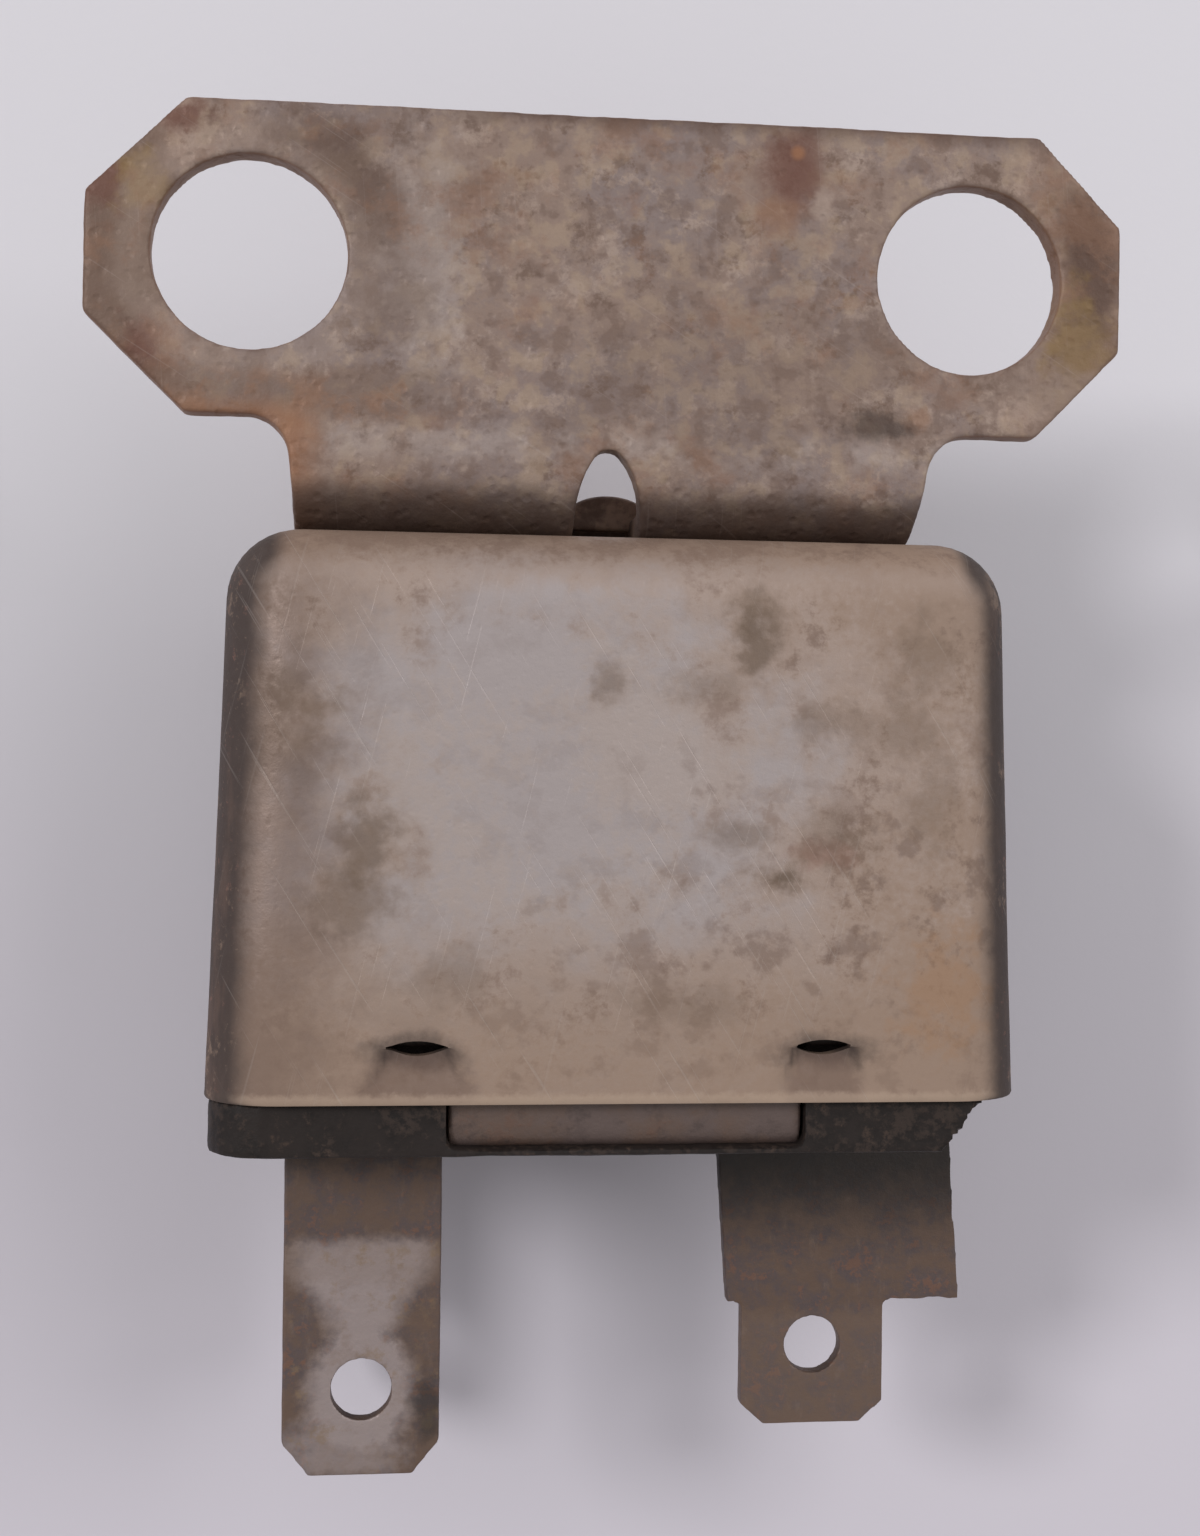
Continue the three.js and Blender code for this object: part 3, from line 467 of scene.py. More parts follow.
canFinish = {
    "bare": tone(162, 151, 150), "haze": tone(165, 151, 146), "beige": tone(160, 141, 131),
    "tan": tone(144, 121, 105), "brown": tone(98, 76, 66), "paintedShade": tone(54, 42, 39),
    "rim": tone(172, 150, 132), "orange": tone(150, 110, 74), "red": tone(132, 92, 80),
    "stain": tone(84, 66, 50), "scratch": tone(182, 172, 166),
    # where things begin and end, in millimetres
    "cleanPatch": (-2.6, 1.2, 14.5, 11.0), "face": (19.0, 21.5), "belt": (-9.5, -4.0),
    "leftDirt": (-13.6, -8.6), "rimBand": (-11.6, -11.0), "rubbedBand": (8.3, 9.3),
    "slitY": -9.4, "pressedY": -11.2, "pressedHalves": (2.3, 1.6),
    "rust": (("orange", 12.6, -6.8, 1.6, 2.2, 0.4, 1.9), ("red", 7.9, -1.9, 0.9, 0.5, 0.5)),
    # x, y, half-width, half-height, strength: dark stains on the front face
    "stains": (
        (5.1, 7.5, 0.9, 0.7, 0.55), (5.2, 6.4, 0.7, 1.0, 0.6), (-13.2, 3.9, 1.7, 1.5, 0.5),
        (-12.9, 1.6, 1.6, 1.3, 0.35), (-9.7, -1.5, 0.9, 1.3, 0.55), (-10.0, -3.6, 1.2, 1.1, 0.42),
        (6.3, -2.7, 0.75, 0.45, 0.7), (8.6, -1.2, 1.0, 0.8, 0.35), (-0.4, 4.6, 0.55, 0.5, 0.4),
        (3.3, 4.6, 1.1, 0.5, 0.25), (4.9, -1.2, 1.1, 0.35, 0.35),
        (10.6, 2.9, 1.5, 1.0, 0.3), (11.9, 5.6, 1.1, 1.4, 0.3), (7.7, 3.2, 1.0, 0.7, 0.3),
        (12.2, 0.2, 0.9, 1.6, 0.28), (-6.4, -6.6, 1.4, 0.8, 0.25), (2.0, -7.6, 2.2, 0.7, 0.22),
    ),
}


def paintCan(look):
    paint = Paint("dullCanSteel", look)
    fleck, flecky = paint.swing(2.6, 6.0, 0.68)
    cloud = paint.grain(0.16, 5.0, 0.6, (3, 8, 0))
    patch, patchy = paint.swing(0.42, 6.0, 0.66, (11, 2, 5))
    # dirt gathers away from a clean patch left of the middle of the face
    far = paint.distance(*look["cleanPatch"]) + (cloud - 0.5) * 1.1 + patchy * 0.7
    paint.ground(paint.rise(cloud + flecky * 0.5, 0.42, 0.62), "bare", "haze")
    paint.cover(paint.rise(far, 0.42, 0.8), "beige")
    dirty = paint.rise(far + flecky * 0.9, 0.72, 1.25)
    paint.cover(dirty * 0.8, "tan")
    mottle = paint.rise(patch + flecky * 0.45, 0.54, 0.7) * paint.rise(far, 0.25, 0.9)
    paint.cover(mottle * 0.5, "brown")
    # soft brown smears, more of them to the right and low down
    smear = paint.grain(0.75, 4.0, 0.6, (2, 5, 1))
    reach = paint.rise(paint.x * 0.6 - paint.y + (cloud - 0.5) * 20, 0.0, 9.0)
    paint.cover(paint.rise(smear, 0.5, 0.64) * (reach * 0.4 + 0.1), "brown")
    # a warmer belt above the rim
    paint.cover(paint.fall(paint.y + patchy * 9, *look["belt"]) * 0.55, "tan")
    paint.spots("rust")
    onFront = paint.rise(paint.z, *look["face"])
    for x, y, halfX, halfY, strength in look["stains"]:
        halo = paint.blotch(x, y, halfX * 1.6, halfY * 1.6, 2.0, 0.8) * onFront
        paint.cover(halo * strength * 0.6, "tan")
        stain = paint.blotch(x, y, halfX, halfY, 2.0, 0.8) * strength
        paint.cover(stain * onFront, "stain")
    # the left side of the face is dirtier
    leftDirt = paint.fall(paint.x + patchy * 9, *look["leftDirt"]) * onFront
    paint.cover(leftDirt * 0.55, "brown")
    # painted shade in the dark crimp slits and over the pressed metal below them
    for crimpX, half in zip(canLook["crimpXs"], look["pressedHalves"]):
        slit = paint.blotch(crimpX, look["slitY"], 1.5, 0.6, 0.8) * 0.8 * onFront
        paint.cover(slit, "paintedShade")
        wander = patchy * 0.5 + flecky * 0.5
        pressed = paint.distance(crimpX, look["pressedY"], half, 2.2) + wander
        paint.cover(paint.fall(pressed, 0.7, 1.15) * onFront * 0.6, "brown")
    # the rubbed edge of the rim
    rimLine = paint.between(paint.y + flecky * 0.5, *look["rimBand"], 0.15) * onFront
    paint.cover(rimLine * 0.5, "rim")
    # a pale line where the metal is rubbed at the closed end, and painted shade on the rounded sides
    rubbed = paint.between(paint.y + patchy * 1.2, *look["rubbedBand"], 0.5) * onFront
    paint.cover(rubbed * 0.4, "beige")
    endDirt = paint.rise(paint.ny + flecky * 0.35, 0.35, 0.8)
    paint.cover(endDirt * 0.7, "tan")
    endRust = endDirt * paint.rise(patch + flecky * 0.5, 0.42, 0.62)
    paint.cover(endRust * 0.42, "brown")
    sideFacing = paint.size(paint.nx)
    turned = paint.fall(paint.size(paint.nz) + patchy * 0.2, 0.72, 0.97)
    shadedFlank = turned * paint.rise(sideFacing, 0.15, 0.45)
    paint.cover(shadedFlank * 0.9, "paintedShade")
    scuff = paint.rise(paint.grain(5.0, 3.0, 0.6, (2, 9, 4)), 0.62, 0.74) * shadedFlank
    paint.cover(scuff * 0.3, "tan")
    # the sides: rust freckles, rubbed metal and darker runs down from the closed end
    sideways = paint.rise(sideFacing, 0.5, 0.9)
    run = paint.grain(0.5, 5.0, 0.65, (4, 4, 4), (1, 0.35, 1.3))
    # painted shade: the right side is darker, as if the light came from the left
    shadedRightSide = paint.rise(paint.nx, 0.4, 0.9)
    paint.cover(shadedRightSide * 0.75, "paintedShade")
    paint.cover(sideways * paint.rise(run, 0.48, 0.68) * 0.55, "brown")
    bare = paint.rise(paint.grain(0.32, 6.0, 0.7, (8, 2, 1)) + flecky * 0.4, 0.56, 0.66)
    paint.cover(sideways * bare * 0.6, "tan")
    freckle = paint.rise(paint.grain(1.6, 5.0, 0.72, (1, 3, 9)), 0.6, 0.68)
    paint.cover(sideways * freckle * 0.5, "red")
    under = paint.fall(paint.nz, -0.9, -0.4)
    paint.cover(under * paint.rise(patch, 0.45, 0.62) * 0.6, "brown")
    scratch = (paint.scratches(32, 3) + paint.scratches(-14, 8) * 0.6).clamped() * onFront
    paint.cover(scratch * 0.12, "scratch")
    dirt = (dirty + mottle + shadedFlank).clamped()
    rough = 0.46 + dirt * 0.26 + flecky * 0.22 - scratch * 0.06
    pit = paint.rise(paint.pits(2.2), 0.05, 0.3)
    height = fleck * 0.5 + patch * 0.6 + pit * 0.15 - scratch * 0.15
    return paint.finish(rough, 0.3 - dirt * 0.2, height, 0.045)


bracketFinish = {
    "steel": tone(136, 115, 104), "pale": tone(160, 140, 128), "grey": tone(128, 112, 108),
    "brown": tone(104, 82, 70), "dark": tone(62, 47, 41), "red": tone(100, 62, 50),
    "rust": tone(132, 96, 74), "orange": tone(144, 98, 68),
    "burnt": tone(80, 56, 45), "straw": tone(160, 138, 118), "umber": tone(102, 80, 70),
    "white": tone(174, 160, 154), "gold": tone(136, 108, 62),
    # where things begin and end, in millimetres
    "ears": (15.5, 20.0), "leftEar": (-18.6, -16.4), "topLip": (26.3, 27.1), "topLipLeft": (-9.0, -4.0),
    "lowBand": (14.9, 16.7), "lowLeft": (-8.0, -5.0), "neckSide": (-12.9, -11.0), "neckTop": (14.5, 16.0),
    "bend": (13.4, 14.6), "crevice": (11.6, 12.8),
    "leftHole": (-14.33, 21.2), "rightHole": (14.33, 21.2),
    "slope": (("white", -7.6, 21.4, 1.5, 3.8, 0.55), ("brown", -8.6, 19.2, 1.6, 1.4, 0.5)),
    "leftEarRust": (
        ("red", -20.0, 23.6, 0.7, 1.3, 0.8), ("red", -18.3, 17.4, 0.8, 1.3, 0.8),
        ("red", -16.6, 26.3, 0.9, 0.6, 0.8), ("gold", -18.4, 23.6, 0.9, 1.0, 0.6),
    ),
    "rightEarRust": (
        ("burnt", 19.2, 22.2, 1.1, 2.2, 0.6), ("gold", 18.8, 18.9, 1.2, 1.8, 0.75),
        ("pale", 18.6, 16.6, 2.4, 1.0, 0.45),
    ),
    "burn": (
        ("red", 7.0, 25.2, 1.35, 1.5, 0.85, 0.6), ("rust", 6.5, 23.4, 0.7, 0.7, 0.6),
        ("pale", 8.4, 24.0, 0.45, 0.5, 0.7), ("orange", 7.2, 26.0, 0.25, 0.25, 0.8, 0.2),
    ),
    "neckMark": (("dark", 10.6, 15.2, 1.3, 0.6, 0.75), ("rust", 12.2, 15.5, 0.5, 0.4, 0.6)),
}


def paintBracket(look):
    paint = Paint("rustedBracketSteel", look)
    fleck, flecky = paint.swing(2.4, 6.0, 0.7, (1, 4, 2))
    patch, patchy = paint.swing(0.55, 6.0, 0.66, (5, 1, 3))
    cloud = paint.grain(0.2, 4.0, 0.6, (9, 3, 1))
    paint.ground(paint.rise(cloud + flecky * 0.5, 0.4, 0.64), "steel", "grey")
    pale = paint.rise(patch + flecky * 0.6, 0.52, 0.66)
    paint.cover(pale * 0.72, "pale")
    dull = paint.rise(paint.grain(0.8, 6.0, 0.7, (2, 7, 7)) + flecky * 0.4, 0.54, 0.68)
    paint.cover(dull * 0.72, "brown")
    soft = paint.grain(0.95, 3.0, 0.55, (8, 3, 5))
    paint.patches(soft, 0.5, 0.64, 0.5, "straw")
    paint.cover(paint.fall(soft, 0.36, 0.48) * 0.5, "umber")
    # a rubbed slope beside the left hole, and the dark spot under it
    paint.spots("slope")
    # rust on the ears, stronger to the outside
    paint.patches(paint.size(paint.x) + patchy * 7, *look["ears"], 0.42, "rust")
    paint.cover(paint.fall(paint.x + patchy * 3, *look["leftEar"]) * 0.85, "brown")
    paint.spots("leftEarRust")
    # the marks of the two washers
    leftAway = paint.distance(*look["leftHole"]) + patchy * 1.6
    rightAway = paint.distance(*look["rightHole"]) + patchy * 1.6
    paint.cover(paint.between(leftAway, 3.9, 5.2, 0.45) * 0.3, "pale")
    leftArc = paint.between(leftAway, 4.3, 6.3, 0.6) * paint.blotch(-10.7, 24.2, 3.4, 2.7, 0.5)
    paint.cover(leftArc * 0.72, "burnt")
    rightArc = paint.between(rightAway, 4.2, 6.1, 0.5) * paint.blotch(19.6, 22.0, 2.2, 3.6, 0.6)
    paint.cover(rightArc * 0.85, "burnt")
    paint.spots("rightEarRust")
    # wide soft clouds, the left half warmer
    paint.patches(paint.grain(0.13, 3.0, 0.5, (6, 2, 2)), 0.42, 0.66, 0.35, "brown")
    paint.patches(paint.grain(0.3, 5.0, 0.65, (3, 9, 1)) + flecky * 0.3, 0.5, 0.68, 0.45, "rust")
    # the dark lip along the top edge
    topLip = paint.rise(paint.y + patchy * 1.4, *look["topLip"])
    topLip = topLip * paint.rise(paint.x, *look["topLipLeft"])
    paint.cover(topLip * 0.65, "burnt")
    # the red-brown burn at the top edge, with its orange foot and a pale fleck
    paint.spots("burn")
    # rust along the lower left edge and the left side of the neck
    lowBand = paint.between(paint.y + patchy * 2.2, *look["lowBand"], 0.5)
    lowLeft = lowBand * paint.fall(paint.x, *look["lowLeft"])
    paint.cover(lowLeft * 0.5, "brown")
    paint.cover(lowLeft * paint.rise(patch, 0.45, 0.62) * 0.6, "rust")
    neckSide = paint.fall(paint.x + patchy * 2.0, *look["neckSide"])
    neckSide = neckSide * paint.fall(paint.y, *look["neckTop"])
    paint.cover(neckSide * 0.7, "orange")
    paint.spots("neckMark")
    # a streaky painted highlight on the bend, and painted shade where it dips to the can
    bendHighlight = paint.between(paint.y, *look["bend"], 0.5)
    bendHighlight = bendHighlight * paint.rise(paint.grain(0.5, 4.0, 0.6, (4, 4, 0)), 0.45, 0.62)
    paint.cover(bendHighlight * 0.38, "white")
    paint.cover(paint.fall(paint.y + patchy * 0.9, *look["crevice"]) * 0.74, "dark")
    # raw edges rust orange
    edge = paint.fall(paint.size(paint.nz), 0.5, 0.85) * paint.rise(paint.y, 14.0, 15.0)
    paint.cover(edge * 0.55, "rust")
    behind = paint.fall(paint.nz, -0.5, 0.1)
    paint.cover(behind * paint.rise(cloud, 0.4, 0.6) * 0.5, "rust")
    scratch = (paint.scratches(58, 2) + paint.scratches(4, 6) * 0.6).clamped()
    paint.cover(scratch * 0.13, "white")
    pit = paint.rise(paint.pits(1.7, (3, 3, 3)), 0.08, 0.4)
    rough = 0.52 + flecky * 0.3 + dull * 0.14 - pale * 0.05
    height = fleck * 0.7 + patch * 0.5 + pit * 0.5
    return paint.finish(rough, 0.25, height, 0.06)


phenolicFinish = {
    "body": tone(38, 31, 29), "worn": tone(58, 47, 42), "dust": tone(78, 62, 53), "deep": tone(25, 20, 19),
    "breakX": (12.6, 13.6), "breakZ": (11.0, 12.5), "shine": 0.22,
}


def paintPhenolic(look):
    paint = Paint("darkPhenolic", look)
    fleck, flecky = paint.swing(3.2, 5.0, 0.7)
    patch = paint.grain(0.5, 5.0, 0.65, (4, 0, 2))
    paint.ground(paint.rise(patch, 0.4, 0.65), "body", "deep")
    paint.patches(patch + flecky * 0.8, 0.5, 0.68, 0.75, "worn")
    paint.patches(paint.grain(0.9, 5.0, 0.7, (8, 1, 4)) + flecky * 0.5, 0.6, 0.76, 0.5, "dust")
    # the raw break is browner
    broken = paint.rise(paint.x, *look["breakX"]) * paint.rise(paint.z, *look["breakZ"])
    broken = broken * paint.rise(paint.nx, 0.4, 0.8)
    paint.cover(broken * paint.fall(paint.y, -11.5, -11.2) * 0.7, "dust")
    rough = 0.58 + flecky * 0.3
    height = fleck * 0.6 + patch * 0.5
    return paint.finish(rough, 0.0, height, 0.06, **{"Specular IOR Level": look["shine"]})


ironFinish = {
    "iron": tone(96, 81, 77), "brown": tone(98, 80, 72), "dark": tone(72, 60, 57),
    "rust": tone(102, 76, 64),
}


def paintIron(look):
    paint = Paint("tarnishedIron", look)
    fleck, flecky = paint.swing(2.8, 6.0, 0.7, (3, 1, 1))
    patch = paint.grain(0.45, 5.0, 0.62, (7, 7, 2))
    paint.ground(paint.rise(patch, 0.42, 0.62), "iron", "brown")
    paint.patches(patch + flecky * 0.8, 0.58, 0.76, 0.6, "rust")
    paint.patches(paint.grain(0.8, 5.0, 0.65, (1, 5, 9)), 0.52, 0.7, 0.75, "dark")
    rough = 0.5 + flecky * 0.3
    return paint.finish(rough, 0.35, fleck * 0.7 + patch * 0.5, 0.06)


terminalFinish = {
    "brown": tone(97, 77, 66), "dark": tone(34, 28, 26), "rust": tone(118, 82, 62),
    "tin": tone(160, 146, 144), "tan": tone(126, 106, 94), "brass": tone(130, 106, 78),
    "slate": tone(84, 72, 72),
    # heights along the blades, in millimetres
    "underBase": (-15.6, -13.6), "tinTop": (-18.2, -17.3), "narrowing": (-21.6, -18.4),
    "wedgeEnd": (-24.0, -22.0), "holeY": -23.7, "footY": -26.0, "band": (-19.4, -17.9),
    "shankShade": (-20.6, -15.4), "tab": (-22.8, -21.8),
}


def terminalBase(paint):
    fleck, flecky = paint.swing(3.0, 6.0, 0.7, (6, 2, 2))
    patch, patchy = paint.swing(0.9, 5.0, 0.66, (2, 2, 8))
    paint.ground(paint.rise(patch, 0.4, 0.64), "brown", "slate")
    paint.patches(patch + flecky * 0.9, 0.56, 0.72, 0.6, "rust")
    streak = paint.grain(1.1, 5.0, 0.7, (9, 9, 1), (1.5, 0.5, 1))
    paint.patches(streak, 0.55, 0.75, 0.35, "tan")
    paint.grains = (fleck, flecky, patch, patchy)
    return patchy


def finishTerminal(paint, tinned=0.25):
    fleck, flecky, patch, patchy = paint.grains
    edge = paint.fall(paint.size(paint.nz) + paint.size(paint.nx), 0.5, 0.9)
    paint.cover(edge * paint.fall(paint.ny, -0.6, 0.0) * 0.5, "rust")
    # painted shadow of the base, dark on the blades just under it
    paint.patches(paint.y + patchy * 2.0, *paint.look["underBase"], 0.75, "dark")
    rough = 0.5 + flecky * 0.3
    metal = 0.3 + tinned * 0.2
    return paint.finish(rough, metal, fleck * 0.6 + patch * 0.4, 0.05)


def paintLoad(look):
    # bare tin shows between a brown root and brown sides
    paint = Paint("tinnedLoadBrass", look)
    patchy = terminalBase(paint)
    low, high = nodeBox("load_terminal")
    centreX = (low.x + high.x) / 2
    upward = paint.rise(paint.nz, 0.2, 0.7)
    wander = patchy * 1.2
    below = paint.fall(paint.y + wander, *look["tinTop"]) * upward
    # a full-width band that narrows to a V over the hole, and a grey ring round the hole
    aside = paint.size(paint.x - centreX) + patchy * 1.6
    narrow = 2.7 - paint.fall(paint.y, *look["narrowing"]) * 1.5
    wedge = paint.fall(aside - narrow, -0.8, 0.6) * paint.rise(paint.y, *look["wedgeEnd"])
    ringed = paint.fall(paint.distance(centreX, look["holeY"]) + patchy * 1.6, 1.5, 2.7)
    foot = paint.blotch(centreX - 0.6, look["footY"], 2.2, 1.1, 1.2) * 0.7
    tin = (wedge + ringed + foot).clamped() * below
    paint.cover(tin * 0.82, "tin")
    warm = paint.rise(paint.grain(0.7, 5.0, 0.7, (7, 3, 3)), 0.48, 0.66)
    paint.cover(tin * warm * 0.4, "tan")
    band = paint.between(paint.y + wander, *look["band"], 0.3) * upward
    paint.cover(band * 0.25, "tan")
    brassy = paint.rise(paint.grain(1.0, 5.0, 0.7, (1, 8, 3)), 0.54, 0.68) * below
    paint.cover(brassy * 0.45, "brass")
    paint.cover(paint.blotch(centreX + 2.7, -21.6, 0.7, 1.6) * 0.4, "brown")
    paint.cover(paint.blotch(centreX + 2.7, -24.4, 0.6, 1.2) * 0.6, "dark")
    return finishTerminal(paint, tin)


def paintBattery(look):
    # painted shadow of the base, darkest under it and fading to brown down the shank; warm grey at the tab
    paint = Paint("brownBatteryBrass", look)
    patchy = terminalBase(paint)
    paint.patches(paint.y + patchy * 2.4, *look["shankShade"], 0.94, "dark")
    paint.cover(paint.fall(paint.y + patchy * 1.2, *look["tab"]) * 0.22, "tan")
    return finishTerminal(paint)


def paintSwitch(look):
    paint = Paint("brownSwitchBrass", look)
    terminalBase(paint)
    return finishTerminal(paint)


def paintPlain(name, base, shade, fine, metallic, rough, depth, stretch):
    # the inner pieces: two tones, a fine grain and a soft bump
    paint = Paint(name, {"base": tone(*base), "shade": tone(*shade)})
    fleck, flecky = paint.swing(fine, 5.0, 0.65, (2, 6, 3), stretch)
    patch = paint.grain(fine / 5, 4.0, 0.6, (5, 5, 1), stretch)
    paint.ground(paint.rise(patch + flecky * 0.5, 0.4, 0.68), "base", "shade")
    return paint.finish(rough + flecky * 0.25, metallic, fleck + patch * 0.5, depth)


bracketSteel = paintBracket(bracketFinish)
canSteel = paintCan(canFinish)
phenolic = paintPhenolic(phenolicFinish)
iron = paintIron(ironFinish)
loadBrass = paintLoad(terminalFinish)
batteryBrass = paintBattery(terminalFinish)
switchBrass = paintSwitch(terminalFinish)
# name: base tone, shade tone, grain, metallic, roughness, bump depth, stretch
plainFinishes = {
    "rivetBrass": ((126, 104, 76), (78, 64, 52), 2.5, 0.5, 0.45, 0.05, (1, 1, 1)),
    "brownPhenolic": ((98, 76, 58), (72, 54, 42), 2.0, 0.0, 0.5, 0.04, (1, 1, 1)),
    "enamelledCopper": ((172, 92, 52), (130, 62, 38), 1.5, 0.6, 0.3, 0.02, (1, 1, 1)),
    "varnishedPaper": ((122, 82, 58), (92, 58, 42), 1.2, 0.0, 0.6, 0.06, (1, 4, 1)),
    "lipSteel": ((142, 120, 106), (100, 80, 70), 3.0, 0.2, 0.6, 0.05, (1, 1, 1)),
    "springBronze": ((176, 132, 84), (140, 98, 60), 2.2, 0.7, 0.35, 0.02, (4, 1, 1)),
    "contactSilver": ((190, 186, 178), (150, 144, 136), 3.0, 0.8, 0.35, 0.02, (1, 1, 1)),
}
plain = {name: paintPlain(name, *look) for name, look in plainFinishes.items()}
print("finishes made")

canShell = makeCan(canLook)
mount(canShell, "relay", ["can"], canSteel)
print("can made:", len(canShell.data.polygons), "faces")


bracketLook = {
    "voxel": 0.17, "passes": 4,
    "neckTop": 14.6, "neckLow": 10.5, "neckHalf": 12.85, "leftTaper": 0.25, "rightTaper": 0.5,
    "waves": ((6.0, 0.05, 4), (1.4, 0.045, 5), (0.5, 0.035, 6)),
}


def makeBracket(look):
    piece = refine(copyNode("mounting_bracket", "bracketSheet"), look["voxel"], look["passes"])
    places = readPoints(piece)[0]
    # the neck leans in towards the can, more on its right
    share = softStep(look["neckTop"] - places[:, 1], 0, look["neckTop"] - look["neckLow"])
    taper = np.where(places[:, 0] > 0, look["rightTaper"], look["leftTaper"])
    reach = np.clip(np.abs(places[:, 0]) / look["neckHalf"], 0, 1)
    places[:, 0] -= np.sign(places[:, 0]) * taper * share * reach
    writePoints(piece, places)
    corrode(piece, look["waves"])
    smoothShade(piece, 60)
    return piece


def slab(name, outlinePoints, lowZ, highZ, edge):
    # a flat outline in millimetres given a thickness and soft edges
    work = bmesh.new()
    ring = [work.verts.new((x * mm, y * mm, lowZ * mm)) for x, y in outlinePoints]
    face = work.faces.new(ring)
    grown = bmesh.ops.extrude_face_region(work, geom=[face])
    raised = [item for item in grown["geom"] if isinstance(item, bmesh.types.BMVert)]
    bmesh.ops.translate(work, verts=raised, vec=(0, 0, (highZ - lowZ) * mm))
    piece = closeMesh(work, name)
    bevel = piece.modifiers.new("edge", "BEVEL")
    bevel.width = edge * mm
    bevel.segments = 4
    return settle(piece)


def makeLip(look):
    # the metal pushed up where the bend is pierced
    points = [(look["x"] + look["half"], look["rootY"])]
    rise = look["topY"] - look["shoulderY"]
    for step in range(look["steps"] + 1):
        angle = math.pi * step / look["steps"]
        across = look["half"] * math.cos(angle)
        points.append((look["x"] + across, look["shoulderY"] + rise * math.sin(angle)))
    points.append((look["x"] - look["half"], look["rootY"]))
    piece = slab("bracketLip", points, look["lowZ"], look["highZ"], look["edge"])
    smoothShade(piece, 40)
    return piece


lipLook = {
    "x": 0.2, "half": 1.75, "rootY": 11.2, "shoulderY": 11.7, "topY": 12.65,
    "lowZ": 16.2, "highZ": 17.1, "edge": 0.18, "steps": 24,
}
bracketLip = makeLip(lipLook)
dress(bracketLip, plain["lipSteel"])
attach(bracketLip, "relay")

bracketSheet = makeBracket(bracketLook)
mount(bracketSheet, "relay", ["mounting_bracket"], bracketSteel)
print("bracket made:", len(bracketSheet.data.polygons), "faces")


baseLook = {
    "voxel": 0.2, "passes": 3, "breakX": 12.4, "breakZ": 11.5, "breakDepth": 0.35,
    "waves": ((3.0, 0.05, 7), (0.8, 0.04, 8)),
}


def makeBase(look):
    piece = refine(copyNode("base", "baseMoulding"), look["voxel"], look["passes"])
    corrode(piece, look["waves"])
    # the broken corner is rough
    places, normals = readPoints(piece)
    broken = (normals[:, 0] > 0.3) & (normals[:, 1] < -0.05) & (places[:, 0] > look["breakX"])
    broken &= places[:, 2] > look["breakZ"]
    rough = ripple(places * (1, 1, 0.5), 0.75, 9) + 0.6 * ripple(places * (1, 1, 0.5), 0.3, 10)
    lift = np.where(broken, -look["breakDepth"] * (rough + 0.9) / 2, 0)
    writePoints(piece, places + normals * lift[:, None])
    smoothShade(piece, 45)
    return piece


baseMoulding = makeBase(baseLook)
mount(baseMoulding, "relay", ["base"], phenolic)
print("base made:", len(baseMoulding.data.polygons), "faces")


heelLook = {"aside": 0.3, "down": 0.22, "forward": 0.4, "depth": 2.2}


def fillNotch(piece, look):
    # the heel is spread to the sides of its notch in the base
    low, high = nodeBox("yoke")
    places = readPoints(piece)[0]
    front = high.z - look["depth"]
    heel = softStep(-places[:, 1], 10.6, 11.3) * softStep(places[:, 2], front, front + 0.6)
    coreLow, coreHigh = nodeBox("core")
    middleX = (coreLow.x + coreHigh.x) / 2
    side = softStep(np.abs(places[:, 0] - middleX), 5.6, 6.4)
    places[:, 0] += np.sign(places[:, 0] - middleX) * look["aside"] * heel * side
    places[:, 1] -= look["down"] * heel * softStep(-places[:, 1], -low.y - 0.7, -low.y - 0.2)
    places[:, 2] += look["forward"] * heel
    writePoints(piece, places)


# node: piece, voxel size, smoothing passes, waves of wear, slot, finish
wornPieces = {
    "yoke": ("yokeIron", 0.2, 3, ((2.5, 0.04, 11), (0.7, 0.03, 12)), "iron", iron),
    "core": ("coreIron", 0.16, 2, ((1.5, 0.03, 13),), "iron", iron),
    "load_terminal": ("loadBlade", 0.1, 4, ((3.0, 0.03, 14), (0.6, 0.02, 15)), "terminal_brass", loadBrass),
    "battery_terminal": ("batteryBlade", 0.1, 3, ((3.0, 0.03, 16), (0.6, 0.02, 17)),
                         "terminal_brass", batteryBrass),
    "switch_terminal": ("switchBlade", 0.1, 3, ((3.0, 0.03, 18), (0.6, 0.02, 19)),
                        "terminal_brass", switchBrass),
}
for node, (name, voxel, passes, waves, slotName, material) in wornPieces.items():
    worn = refine(copyNode(node, name), voxel, passes)
    corrode(worn, waves)
    if node == "yoke":
        fillNotch(worn, heelLook)
    smoothShade(worn, 50)
    mount(worn, "relay", [node], material)
    print(name, "made:", len(worn.data.polygons), "faces")

leafLook = {
    "voxel": 0.1, "passes": 2,
    "bendStart": (0.00051, 0.0015, 0.0209), "bendEnd": (0.00051, 0.00365, 0.0186),
}


def makeLeaf(look):
    # the return leaf, remeshed and dressed as one piece (on the relay it stays on the leg at one end and
    # goes with the armature at the other)
    piece = refine(copyNode("return_leaf", "returnLeaf"), look["voxel"], look["passes"])
    smoothShade(piece, 50)
    dress(piece, plain["springBronze"])
    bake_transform(piece)
    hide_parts("return_leaf")
    return piece


returnLeaf = makeLeaf(leafLook)
print("return leaf made:", len(returnLeaf.data.polygons), "faces")

shankLook = {
    "topY": -19.5, "lowY": -21.85, "tabX": 10.05, "tabHalf": 3.4, "ragged": 0.09,
    "edgeX": 15.6, "edgeTop": -13.6, "edgeRagged": 0.07,
}


